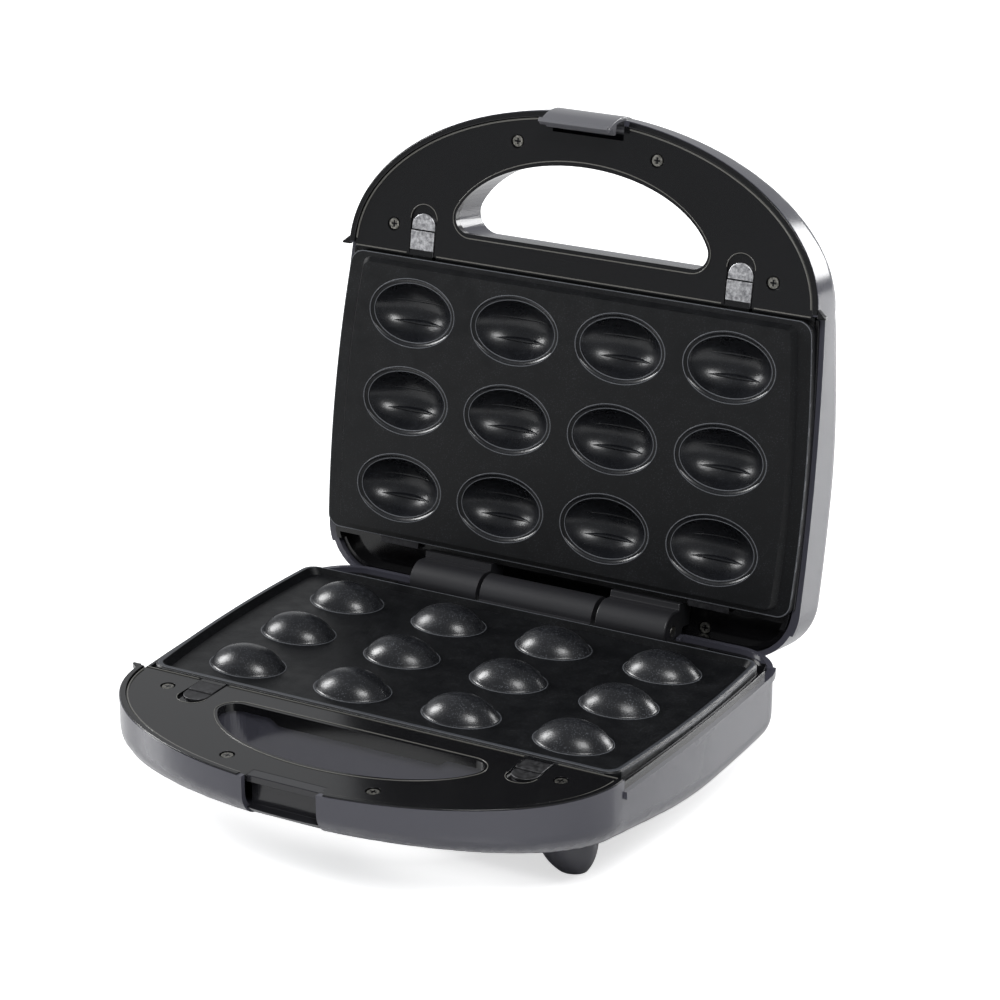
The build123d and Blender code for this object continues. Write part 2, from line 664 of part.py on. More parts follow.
def plate_hooks():
    """The steel hooks that hold a plate's rear tongues."""
    hooks = []
    front = PLATE_REAR_Y + 0.7
    riser = PLATE_REAR_Y + 2.7
    for x in both_sides(TAB_X):
        foot = block(x - 10, x + 10, riser, CHANNEL_FRONT_Y, -RAIL_TOP, -RAIL_TOP + 0.8)
        upright = block(x - 10, x + 10, riser, riser + 0.8, -RAIL_TOP, 1 - TONGUE_TOP)
        lip = block(x - 10, x + 10, front, riser + 0.8, 0.2 - TONGUE_TOP, 1 - TONGUE_TOP)
        hooks.append(foot + upright + lip)
    return hooks


def release_tab(x):
    """One sliding tab: a thumb end, a strip over the plate's lug and a leg down to the spring."""
    top = -TAB_TOP
    bottom = top - TAB_THICK
    half = TAB_WIDTH / 2
    end = TAB_END_Y + half
    tab = block(x - half, x + half, end, PLATE_FRONT_Y - TAB_PLAY / 2, top, bottom)
    tab = tab + pillar(x, end, top, bottom, half)
    tab = tab - block(x - FAR, x + FAR, -FAR, end - TAB_BEND, top + 1, top - TAB_STEP)
    leg_half = LEG_REACH / 2 - TAB_PLAY
    leg_front = LEG_Y - LEG_THICK / 2
    leg = block(x - leg_half, x + leg_half, leg_front, leg_front + LEG_THICK, bottom + 1, bottom - LEG_REACH)
    return tab + leg


def release_spring(x):
    """The coil spring that pushes one tab towards the plate."""
    start = LEG_Y - LEG_THICK / 2 - SPRING_WIRE_R - 0.05
    level = -TAB_UNDER - BED_THICK - SPRING_R - 3 * SPRING_WIRE_R
    path = Helix(pitch=SPRING_PITCH, height=SPRING_LENGTH, radius=SPRING_R, direction=(0, -1, 0))
    wire = sweep(Plane(origin=path @ 0, z_dir=path % 0) * Circle(SPRING_WIRE_R), path=path, is_frenet=True)
    return Pos(x, start, level) * wire


def cover_screws():
    """The crosshead screws of one cover frame."""
    screws = []
    for x, y in cover_screw_spots():
        top = seat_level(y) - 0.3
        head = pillar(x, y, top, seat_level(y) - SCREW_HEAD, SCREW_HEAD_R)
        shank = pillar(x, y, top - 1, seat_level(y) - SCREW_LENGTH, SCREW_R)
        screws.append(head + shank - crosshead(x, y, top))
    return screws


def crosshead(x, y, top):
    """The cross in the top of a screw head, open upwards."""
    half = DRIVE_WIDTH / 2
    along = block(x - SCREW_R, x + SCREW_R, y - half, y + half, top + 1, top - DRIVE_DEPTH)
    across = block(x - half, x + half, y - SCREW_R, y + SCREW_R, top + 1, top - DRIVE_DEPTH)
    return along + across


def base_knuckle():
    """The base's middle knuckle: a barrel on a block that stands in the frame's channel."""
    half = BASE_BARREL_HALF
    barrel = rod(-half, half, HINGE_Y, -HINGE_BELOW, BARREL_R)
    stand = block(-half, half, CHANNEL_FRONT_Y, CHANNEL_FRONT_Y + BLOCK_DEPTH_Y, -HINGE_BELOW, -RECESS_DEPTH)
    body = barrel + stand - rod(-half - 1, half + 1, HINGE_Y, -HINGE_BELOW, PIN_R)
    for x, y in wire_way_spots(False):
        body = body - pillar(x, y, -RECESS_DEPTH + WIRE_BORE_DEPTH, -RECESS_DEPTH - 1, WIRE_BORE_R)
    return body


def lid_knuckle(side):
    """One of the lid's knuckles. Its barrel reaches past the parting plane to the hinge axis."""
    x0 = side * (BASE_BARREL_HALF + BARREL_GAP)
    x1 = side * BARRELS_HALF
    barrel = rod(x0, x1, HINGE_Y, HINGE_BELOW, BARREL_R)
    web_back = CHANNEL_FRONT_Y + BLOCK_DEPTH_Y
    web = block(x0, x1, CHANNEL_FRONT_Y, web_back, -FRAME_FACE, -RECESS_DEPTH)
    neck = block(x0, x1, HINGE_Y - BARREL_R, HINGE_Y + BARREL_R / 2, HINGE_BELOW, -RECESS_DEPTH / 2)
    body = barrel + web + neck - rod(x0 - side, x1 + side, HINGE_Y, HINGE_BELOW, PIN_R + RUNNING_GAP)
    for x, y in wire_way_spots(True):
        if x * side > 0:
            body = body - pillar(x, y, -RECESS_DEPTH + WIRE_BORE_DEPTH, -RECESS_DEPTH - 1, WIRE_BORE_R)
    return body


def wire_way_spots(lid):
    """Where the wires to the lid pass through a channel's floor into a knuckle."""
    x = -BASE_BARREL_HALF - BARREL_GAP - WIRE_WAY_INSET if lid else -BASE_BARREL_HALF + WIRE_WAY_INSET
    return [(x, WIRE_WAY_Y), (x + (-1 if lid else 1) * 2 * WIRE_WAY_INSET, WIRE_WAY_Y)]


def heater_level(upper):
    """The height of a heating element's axis under its plate."""
    if upper:
        return -UPPER_HEATER_DEPTH
    return TRAY_FLOOR - PAN_FLOOR - HEATER_R


def heater(upper):
    """The sheathed element: a U with both ends bent down to its terminals."""
    level = heater_level(upper)
    drop = level - HEATER_LEG_DROP
    path = FilletPolyline(
        (-HEATER_END_X, -HEATER_LEG_Y, drop),
        (-HEATER_END_X, -HEATER_LEG_Y, level),
        (HEATER_END_X, -HEATER_LEG_Y, level),
        (HEATER_END_X, HEATER_LEG_Y, level),
        (-HEATER_END_X, HEATER_LEG_Y, level),
        (-HEATER_END_X, HEATER_LEG_Y, drop),
        radius=[HEATER_LEG_R, HEATER_BEND_R, HEATER_BEND_R, HEATER_LEG_R],
    )
    element = sweep(Plane(origin=path @ 0, z_dir=path % 0) * Circle(HEATER_R), path=path)
    for y in both_sides(HEATER_LEG_Y):
        element = element + pillar(-HEATER_END_X, y, drop + 1, drop - TERMINAL_LENGTH, TERMINAL_R)
    return element


def reflector_floor(upper):
    """The top of a reflector's floor."""
    return heater_level(upper) - HEATER_R - REFLECTOR_ROOM


def reflector_screw_spots():
    """Where the reflector is screwed up into the frame's rails."""
    inset = (REFLECTOR_LIP + REFLECTOR_INSET) / 2 - 0.4
    places = (PLATE_FRONT_Y + inset, PLATE_REAR_Y - inset)
    return [(x, y) for x in both_sides(REFLECTOR_SCREW_X) for y in places]


def reflector(upper):
    """The pressed tray that carries the element, with a lip under the frame's rails."""
    top = -RAIL_UNDER
    floor = reflector_floor(upper) - REFLECTOR_SHEET
    tray = slab(plate_outline(REFLECTOR_INSET - REFLECTOR_SHEET), top, floor)
    tray = tray + slab(plate_outline(REFLECTOR_LIP), top, top - REFLECTOR_SHEET)
    tray = tray - slab(plate_outline(REFLECTOR_INSET), 1, reflector_floor(upper))
    for y in both_sides(HEATER_LEG_Y):
        tray = tray - pillar(-HEATER_END_X, y, 0, -FAR, HEATER_R + 0.5)
    for x, y in reflector_screw_spots():
        tray = tray - pillar(x, y, 0, -FAR, REFLECTOR_SCREW_R + RUNNING_GAP)
    return tray


def reflector_screws():
    """The pan-head screws that hold a reflector."""
    top = -RAIL_UNDER - REFLECTOR_SHEET
    return [
        pillar(x, y, top, top - 1.6, REFLECTOR_SCREW_HEAD_R)
        + pillar(x, y, -RAIL_TOP - 1.0, top - 0.5, REFLECTOR_SCREW_R)
        for x, y in reflector_screw_spots()
    ]


def heater_supports(upper):
    """The saddles that hold the element off its tray."""
    level = heater_level(upper)
    floor = reflector_floor(upper)
    saddles = []
    for x in (-45.0, 45.0):
        for y in both_sides(HEATER_LEG_Y):
            saddle = block(
                x - SUPPORT_LENGTH / 2, x + SUPPORT_LENGTH / 2,
                y - SUPPORT_WIDTH / 2, y + SUPPORT_WIDTH / 2, level - 0.5, floor,
            )
            saddles.append(saddle - rod(x - SUPPORT_LENGTH, x + SUPPORT_LENGTH, y, level, HEATER_R))
    return saddles


def thermostat(upper):
    """The disc thermostat under the tray, with its two spade terminals."""
    x, y = THERMOSTAT_SPOT
    top = reflector_floor(upper) - REFLECTOR_SHEET
    body = pillar(x, y, top, top - THERMOSTAT_HEIGHT, THERMOSTAT_R)
    flange = block(x - 13, x + 13, y - 4, y + 4, top, top - 0.8)
    for s in both_sides(BLADE_SPREAD):
        tip = top - THERMOSTAT_HEIGHT - BLADE_LENGTH
        body = body + block(x + s - 0.4, x + s + 0.4, y - 2.4, y + 2.4, top - THERMOSTAT_HEIGHT + 0.5, tip)
    return body + flange


def thermal_fuse():
    """The one-shot fuse in its sleeve, against the tray's underside."""
    x, y = FUSE_SPOT
    level = reflector_floor(False) - REFLECTOR_SHEET - FUSE_R
    sleeve = rod(x - FUSE_LENGTH / 2, x + FUSE_LENGTH / 2, y, level, FUSE_R)
    lead_half = FUSE_LENGTH / 2 + FUSE_LEAD
    return sleeve + rod(x - lead_half, x + lead_half, y, level, FUSE_R / 3)


def terminal_block():
    """The three-way connector that the lead is wired to."""
    x, y = BLOCK_SPOT
    length, width, height = BLOCK_SIZE
    floor = floor_level(y)
    body = block(x - length / 2, x + length / 2, y - width / 2, y + width / 2, floor, floor + height)
    for way in terminal_ways():
        body = body - pillar(way, y, floor + height / 2, floor + height + 1, 2.0)
        body = body - Pos(way, y, floor + height / 2) * Rot(90, 0, 0) * Cylinder(WIRE_R + 0.3, width + 2)
    return body


def terminal_ways():
    """The three ways of the terminal block, along X."""
    return [BLOCK_SPOT[0] + step * BLOCK_SIZE[0] / 3 for step in (-1, 0, 1)]


def cord_inlet():
    """The bush in the rear wall that the mains lead passes through."""
    turn = Pos(INLET_X, REAR_Y, -INLET_DEPTH) * Rot(90, 0, 0)
    outer = INLET_BORE_R + INLET_WALL
    barrel = turn * Pos(0, 0, INLET_LENGTH / 2) * Cylinder(outer, INLET_LENGTH)
    outside = turn * Pos(0, 0, -INLET_FLANGE / 2) * Cylinder(outer + INLET_WALL, INLET_FLANGE)
    seat = WALL + INLET_SEAT_GAP
    inside = turn * Pos(0, 0, seat + INLET_FLANGE / 2) * Cylinder(outer + INLET_WALL, INLET_FLANGE)
    body = barrel + outside + inside
    return body - turn * Cylinder(INLET_BORE_R, 4 * INLET_LENGTH)


def wire(points):
    """An insulated wire along straight runs with round bends."""
    path = FilletPolyline(*points, radius=WIRE_BEND_R)
    return sweep(Plane(origin=path @ 0, z_dir=path % 0) * Circle(WIRE_R), path=path)


def element_end(upper, side):
    """The tip of one of the element's terminals, on the front or back leg."""
    tip = heater_level(upper) - HEATER_LEG_DROP - TERMINAL_LENGTH
    return -HEATER_END_X, side * HEATER_LEG_Y, tip


def thermostat_tips(upper):
    """The tips of the thermostat's two terminals."""
    x, y = THERMOSTAT_SPOT
    tip = reflector_floor(upper) - REFLECTOR_SHEET - THERMOSTAT_HEIGHT - BLADE_LENGTH
    return (x - BLADE_SPREAD, y, tip), (x + BLADE_SPREAD, y, tip)


def base_wiring():
    """The base's wires: block to fuse, element and thermostat, and up to the hinge."""
    front = BLOCK_SPOT[1] - BLOCK_SIZE[1] / 2
    back = BLOCK_SPOT[1] + BLOCK_SIZE[1] / 2
    way_z = floor_level(front) + BLOCK_SIZE[2] / 2
    first, middle, last = terminal_ways()
    run = floor_level(0) + 3 * WIRE_R
    fuse_x, fuse_y = FUSE_SPOT
    fuse_half = FUSE_LENGTH / 2 + FUSE_LEAD
    fuse_z = reflector_floor(False) - REFLECTOR_SHEET - FUSE_R
    rear_end = element_end(False, 1)
    front_end = element_end(False, -1)
    left_blade, right_blade = thermostat_tips(False)
    wires = [
        wire([(first, front, way_z), (first, fuse_y, way_z), (fuse_x + fuse_half + 5, fuse_y, way_z),
              (fuse_x + fuse_half + 5, fuse_y, fuse_z), (fuse_x + fuse_half, fuse_y, fuse_z)]),
        wire([(fuse_x - fuse_half, fuse_y, fuse_z), (rear_end[0] + 8, fuse_y, fuse_z),
              (rear_end[0] + 8, fuse_y, run), (rear_end[0], rear_end[1], run), rear_end]),
        wire([(last, front, way_z), (last, right_blade[1] + 12, way_z),
              (right_blade[0], right_blade[1], run), right_blade]),
        wire([left_blade, (left_blade[0], left_blade[1], run), (left_blade[0], front_end[1], run),
              (front_end[0], front_end[1], run), front_end]),
    ]
    for way, spot in zip((middle, last), wire_way_spots(False)):
        top = -RECESS_DEPTH + WIRE_BORE_DEPTH - 1
        wires.append(wire([(way, back, way_z), (way, spot[1], way_z), (spot[0], spot[1], way_z + 6),
                           (spot[0], spot[1], top)]))
    return wires


def lid_wiring():
    """The lid's wires: hinge to thermostat, element and pilot lamps."""
    run = floor_level(0) + 3 * WIRE_R
    top = -RECESS_DEPTH + WIRE_BORE_DEPTH - 1
    near, far = wire_way_spots(True)
    rear_end = element_end(True, 1)
    front_end = element_end(True, -1)
    left_blade, right_blade = thermostat_tips(True)
    lamp = LAMP_TIP_Z
    return [
        wire([(far[0], far[1], top), (far[0], far[1], run), (far[0] - 20, rear_end[1] + 12, run),
              (rear_end[0], rear_end[1], run), rear_end]),
        wire([(near[0], near[1], top), (near[0], near[1], run), (right_blade[0], right_blade[1] + 14, run),
              (right_blade[0], right_blade[1], run), right_blade]),
        wire([left_blade, (left_blade[0], left_blade[1], run), (left_blade[0], front_end[1], run),
              (front_end[0], front_end[1], run), front_end]),
        wire([(-LENS_SPREAD, LENS_Y, lamp), (-LENS_SPREAD, LENS_Y, lamp + 4), (LENS_SPREAD, LENS_Y, lamp + 4),
              (LENS_SPREAD, LENS_Y, lamp)]),
    ]


def pilot_lens(x):
    """One pilot-light lens in the lid's outer face, with its flange inside."""
    lens = pillar(x, LENS_Y, floor_level(LENS_Y), -HALF_DEPTH - LENS_PROUD, LENS_R)
    outer_edge = lens.edges().filter_by(GeomType.CIRCLE).sort_by(Axis.Z)[0]
    lens = fillet(outer_edge, LENS_PROUD * 0.8)
    return lens + pillar(x, LENS_Y, floor_level(LENS_Y) + LENS_FLANGE, floor_level(LENS_Y), LENS_R + 1)


def pilot_lamps():
    """The two neon lamps behind the lenses."""
    base = floor_level(LENS_Y) + LENS_FLANGE
    return [pillar(x, LENS_Y, base, base + LAMP_LENGTH, LAMP_R) for x in both_sides(LENS_SPREAD)]


def foot(spot):
    """One foot, wide against the housing and narrow on the table, its outer side upright."""
    x, y = spot
    outward = 1 if x > 0 else -1
    level = foot_level(y)
    tread = Pos(x + outward * FOOT_LEAN, y, -PARTING_Z) * Ellipse(*FOOT_TREAD)
    middle = Pos(x + outward * FOOT_LEAN / 2, y, -PARTING_Z + FOOT_DROP / 3) * Ellipse(
        FOOT_TREAD[0] * 0.4 + FOOT_TOP[0] * 0.6, FOOT_TREAD[1] * 0.4 + FOOT_TOP[1] * 0.6
    )
    root = Pos(x, y, level + FOOT_TOP[1] * 0.3) * Ellipse(*FOOT_TOP)
    body = loft([tread, middle, root]) - housing_block(0)
    screw_x = x
    body = body - pillar(screw_x, y, 0, -FAR, SCREW_R + RUNNING_GAP)
    return body - pillar(screw_x, y, -PARTING_Z + FOOT_SCREW_SINK, -FAR, SCREW_HEAD_R + RUNNING_GAP)


def foot_screws():
    """The screws that hold the feet, their heads sunk in the treads."""
    screws = []
    for x, y in foot_spots().values():
        head_top = -PARTING_Z + FOOT_SCREW_SINK
        head = pillar(x, y, head_top, head_top - SCREW_HEAD, SCREW_HEAD_R)
        shank = pillar(x, y, floor_level(y) + FOOT_BOSS - 2, head_top - 1, SCREW_R)
        drive = mirror(crosshead(x, y, -head_top + SCREW_HEAD), about=Plane.XY)
        screws.append(head + shank - drive)
    return screws


def hinge_pin():
    """The steel rod through the knuckles."""
    half = BASE_BARREL_HALF + BARREL_GAP + LID_BARREL_LENGTH
    return rod(-half, half, HINGE_Y, -HINGE_BELOW, PIN_R)


def raise_base(shape):
    """Put a piece of the base in its place."""
    return Pos(0, PLATES_TO_MIDDLE, PARTING_Z) * shape


def swing_lid(shape):
    """Turn a piece of the lid face down onto the base and swing it open."""
    closed = raise_base(mirror(shape, about=Plane.XY))
    return closed.rotate(Axis((0, HINGE_Y + PLATES_TO_MIDDLE, HINGE_Z), (1, 0, 0)), -OPEN_ANGLE)


def save(name, shapes):
    """Write one node, a solid or a group of separate solids."""
    shapes = shapes if isinstance(shapes, list) else [shapes]
    solids = [s for shape in shapes for s in shape.solids()]
    whole = solids[0] if len(solids) == 1 else Compound(children=solids)
    whole.label = name
    export_step(whole, f"parts/{name}.step")
    print(f"{name}: {len(solids)} solids")


def base_pieces():
    """Every piece of the base, by node name."""
    pieces = {
        "base_shell": lower_shell(),
        "base_cover_frame": cover_frame(False),
        "lower_plate": lower_plate(),
        "lower_heater": heater(False),
        "lower_heater_supports": heater_supports(False),
        "lower_reflector": reflector(False),
        "lower_reflector_screws": reflector_screws(),
        "lower_thermostat": thermostat(False),
        "thermal_fuse": thermal_fuse(),
        "terminal_block": terminal_block(),
        "base_wiring": base_wiring(),
        "cord_inlet": cord_inlet(),
        "base_cover_screws": cover_screws(),
        "clasp_keeper": clasp_keeper(),
        "base_hinge_knuckle": base_knuckle(),
        "hinge_pin": hinge_pin(),
        "lower_plate_hooks": plate_hooks(),
        "foot_screws": foot_screws(),
        "lower_left_release": release_tab(-TAB_X),
        "lower_left_spring": release_spring(-TAB_X),
        "lower_right_release": release_tab(TAB_X),
        "lower_right_spring": release_spring(TAB_X),
    }
    for name, spot in foot_spots().items():
        pieces[name] = foot(spot)
    return pieces


def lid_pieces():
    """Every piece of the lid, by node name. Seen face up its left and right stay as they are."""
    return {
        "lid_shell": upper_shell(),
        "lid_cover_frame": cover_frame(True),
        "upper_plate": upper_plate(),
        "upper_heater": heater(True),
        "upper_heater_supports": heater_supports(True),
        "upper_reflector": reflector(True),
        "upper_reflector_screws": reflector_screws(),
        "upper_thermostat": thermostat(True),
        "lid_wiring": lid_wiring(),
        "lid_cover_screws": cover_screws(),
        "lid_left_hinge_knuckle": lid_knuckle(-1),
        "lid_right_hinge_knuckle": lid_knuckle(1),
        "upper_plate_hooks": plate_hooks(),
        "upper_left_release": release_tab(-TAB_X),
        "upper_left_spring": release_spring(-TAB_X),
        "upper_right_release": release_tab(TAB_X),
        "upper_right_spring": release_spring(TAB_X),
        "clasp": clasp(),
        "clasp_pin": clasp_pin(),
        "power_light_lens": pilot_lens(-LENS_SPREAD),
        "ready_light_lens": pilot_lens(LENS_SPREAD),
        "pilot_lamps": pilot_lamps(),
    }


def placed(shapes, place):
    """Put a piece, or each piece of a group, in its place."""
    return [place(shape) for shape in shapes] if isinstance(shapes, list) else place(shapes)


def main():
    """Build every piece and write it."""
    os.makedirs("parts", exist_ok=True)
    for name, shapes in base_pieces().items():
        save(name, placed(shapes, raise_base))
    for name, shapes in lid_pieces().items():
        save(name, placed(shapes, swing_lid))


main()
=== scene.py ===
"""Looks of a hinged nut-mould sandwich maker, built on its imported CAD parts."""

import json
import logging
import math
from dataclasses import dataclass, field
from enum import Enum
from typing import Callable, Sequence

import bmesh
import bpy
from mathutils import Matrix, Vector

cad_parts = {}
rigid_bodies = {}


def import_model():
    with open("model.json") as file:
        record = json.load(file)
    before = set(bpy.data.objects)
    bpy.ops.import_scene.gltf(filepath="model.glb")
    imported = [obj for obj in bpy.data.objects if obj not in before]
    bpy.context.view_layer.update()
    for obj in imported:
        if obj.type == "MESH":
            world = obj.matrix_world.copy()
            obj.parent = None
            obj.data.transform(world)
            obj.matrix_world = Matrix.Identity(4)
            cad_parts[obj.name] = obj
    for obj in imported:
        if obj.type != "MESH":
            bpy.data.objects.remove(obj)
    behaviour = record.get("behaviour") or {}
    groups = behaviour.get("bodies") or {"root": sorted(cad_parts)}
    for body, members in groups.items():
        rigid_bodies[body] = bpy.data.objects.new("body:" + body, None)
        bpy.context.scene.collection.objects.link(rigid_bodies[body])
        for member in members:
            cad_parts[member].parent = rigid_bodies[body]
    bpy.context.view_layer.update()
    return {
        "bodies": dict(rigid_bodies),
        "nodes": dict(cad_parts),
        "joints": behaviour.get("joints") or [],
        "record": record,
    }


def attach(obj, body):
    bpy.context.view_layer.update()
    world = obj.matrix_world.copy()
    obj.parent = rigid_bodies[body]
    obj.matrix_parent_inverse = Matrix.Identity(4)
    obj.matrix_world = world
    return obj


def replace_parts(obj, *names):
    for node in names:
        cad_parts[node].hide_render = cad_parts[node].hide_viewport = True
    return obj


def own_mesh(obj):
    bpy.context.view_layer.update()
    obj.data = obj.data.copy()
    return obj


BMesh = bmesh.types.BMesh
Socket = bpy.types.NodeSocket
Tree = bpy.types.NodeTree
Path = Callable[[float, float], Vector]
Pair = tuple[float, float]
Triple = tuple[float, float, float]
Section = list[Pair]
Drawn = tuple[Socket, Socket | None, Socket]

LOG = logging.getLogger("sandwich_maker")
MM = 0.001


# Placing

@dataclass(frozen=True)
class Layout:
    """Where the two halves stand, in millimetres, as in the part's source."""

    parting: float = 51.6
    middle_y: float = 2.5
    hinge_y: float = 80.6
    hinge_below: float = 2.8
    open_angle: float = 99.1

    def base(self) -> Matrix:
        """The place of the base's half, modelled face up with its parting plane at 0."""
        return Matrix.Translation(Vector((0, self.middle_y, self.parting)) * MM)

    def lid(self) -> Matrix:
        """Give the place of the lid's half: turned face down onto the base, then swung open.

        Returns:
            The matrix.
        """
        closed = self.base() @ Matrix.Diagonal((1, 1, -1, 1))
        pivot = Vector((0, self.hinge_y + self.middle_y, self.parting - self.hinge_below)) * MM
        swing = Matrix.Rotation(-math.radians(self.open_angle), 4, "X")
        return Matrix.Translation(pivot) @ swing @ Matrix.Translation(-pivot) @ closed


LAYOUT = Layout()


class Half(Enum):
    """The two halves, each with its body in the frame."""

    BASE = "base"
    LID = "lid"

    def place(self) -> Matrix:
        """The matrix that takes a piece of this half to its place."""
        return LAYOUT.base() if self is Half.BASE else LAYOUT.lid()

    def scaled_place(self) -> Matrix:
        """The same for a piece in the half's own millimetres."""
        return self.place() @ Matrix.Scale(MM, 4)

    @staticmethod
    def of(node: str) -> "Half":
        """The half that a node named lower or upper belongs to."""
        return Half.LID if node.startswith("upper") else Half.BASE


# Colour and nodes

def linear(hex_code: str) -> tuple[float, float, float, float]:
    """Turn an sRGB hex colour to the linear colour that a socket takes.

    Args:
        hex_code: Six hex digits.

    Returns:
        Red, green, blue and an alpha of 1.
    """
    parts = [int(hex_code[i:i + 2], 16) / 255 for i in (0, 2, 4)]
    flat = [c / 12.92 if c <= 0.04045 else ((c + 0.055) / 1.055) ** 2.4 for c in parts]
    return flat[0], flat[1], flat[2], 1.0


def add_node(tree: Tree, kind: str, settings: dict | None = None, inputs: dict | None = None,
             links: dict | None = None) -> bpy.types.Node:
    """Add a shader node with its settings and links.

    Args:
        tree: The node tree to add to.
        kind: The node's type name.
        settings: Attributes to set on the node.
        inputs: Values for its input sockets, by name or index.
        links: Output sockets to link to its inputs, by name or index.

    Returns:
        The new node.
    """
    node = tree.nodes.new(kind)
    for name, value in (settings or {}).items():
        setattr(node, name, value)
    for name, value in (inputs or {}).items():
        node.inputs[name].default_value = value
    for name, output in (links or {}).items():
        tree.links.new(output, node.inputs[name])
    return node


def new_material(name: str) -> tuple[bpy.types.Material, Tree]:
    """Start a material with an empty node tree.

    Args:
        name: The finish's plain name.

    Returns:
        The material and its tree.
    """
    material = bpy.data.materials.new(name)
    material.use_nodes = True
    material.node_tree.nodes.clear()
    return material, material.node_tree


@dataclass(frozen=True)
class Finish:
    """A material of two colours mixed by a pattern that also breaks up its gloss and its surface."""

    name: str
    colour: str
    second: str
    roughness: float

    # Most of a noise's values lie between the first two. The roughness runs between the two factors.
    noise_low = 0.3
    noise_high = 0.7
    glossier = 0.85
    duller = 1.2

    def pattern(self, tree: Tree, place: Socket) -> Drawn:
        """Draw the pattern.

        Args:
            tree: The node tree to add to.
            place: The Object coordinates, which are metres in the shared frame.

        Returns:
            The share of the second colour, what varies the roughness if anything does, and the bumped normal.
        """
        raise NotImplementedError

    def shading(self) -> dict[str, float]:
        """The shader's values that are the same all over."""
        return {}

    def build(self) -> bpy.types.Material:
        """Make the node material.

        Returns:
            The material, ready for a mesh.
        """
        material, tree = new_material(self.name)
        share, wear, normal = self.pattern(tree, add_node(tree, "ShaderNodeTexCoord").outputs["Object"])
        tone = add_node(tree, "ShaderNodeMix", {"data_type": "RGBA"},
                        {6: linear(self.colour), 7: linear(self.second)}, {0: share})
        links = {"Base Color": tone.outputs[2], "Normal": normal}
        if wear:
            rough = add_node(tree, "ShaderNodeMapRange",
                             inputs={"From Min": self.noise_low, "From Max": self.noise_high,
                                     "To Min": self.roughness * self.glossier,
                                     "To Max": self.roughness * self.duller}, links={"Value": wear})
            links["Roughness"] = rough.outputs["Result"]
        shader = add_node(tree, "ShaderNodeBsdfPrincipled", inputs=self.shading(), links=links)
        add_node(tree, "ShaderNodeOutputMaterial", links={"Surface": shader.outputs["BSDF"]})
        return material


@dataclass(frozen=True)
class MouldedPlastic(Finish):
    """Injection-moulded ABS or nylon: one colour with a faint flow mottle, polished or spark-textured.

    The eye sees a near-mirror gloss where the mould is polished and a soft sheen where
    it is textured; the slow wave keeps long reflections from being dead straight.
    """

    # A spark texture's grain is about 0.15 mm. It is drawn at about 0.5 mm, so that it shows.
    grain_mm: float
    grain_height_mm: float
    wave_height_mm: float = 0.0
    wave_mm: float = 28.0
    flow_mm: float = 45.0

    def pattern(self, tree: Tree, place: Socket) -> Drawn:
        """Mottle the colour slowly and texture the surface finely.

        Args:
            tree: The node tree to add to.
            place: The Object coordinates.

        Returns:
            The share of the second colour, what varies the roughness if anything does, and the bumped normal.
        """
        flow = add_node(tree, "ShaderNodeTexNoise", inputs={"Scale": 1 / (self.flow_mm * MM), "Detail": 3.0},
                        links={"Vector": place})
        grain = add_node(tree, "ShaderNodeTexNoise", inputs={"Scale": 1 / (self.grain_mm * MM), "Detail": 2.0},
                         links={"Vector": place})
        bump = add_node(tree, "ShaderNodeBump", inputs={"Strength": 1.0, "Distance": self.grain_height_mm * MM},
                        links={"Height": grain.outputs["Fac"]})
        if self.wave_height_mm:
            wave = add_node(tree, "ShaderNodeTexNoise", inputs={"Scale": 1 / (self.wave_mm * MM), "Detail": 1.0},
                            links={"Vector": place})
            bump = add_node(tree, "ShaderNodeBump",
                            inputs={"Strength": 1.0, "Distance": self.wave_height_mm * MM},
                            links={"Height": wave.outputs["Fac"], "Normal": bump.outputs["Normal"]})
        return flow.outputs["Fac"], grain.outputs["Fac"], bump.outputs["Normal"]

    def shading(self) -> dict[str, float]:
        """The refraction of ABS."""
        return {"IOR": 1.5}


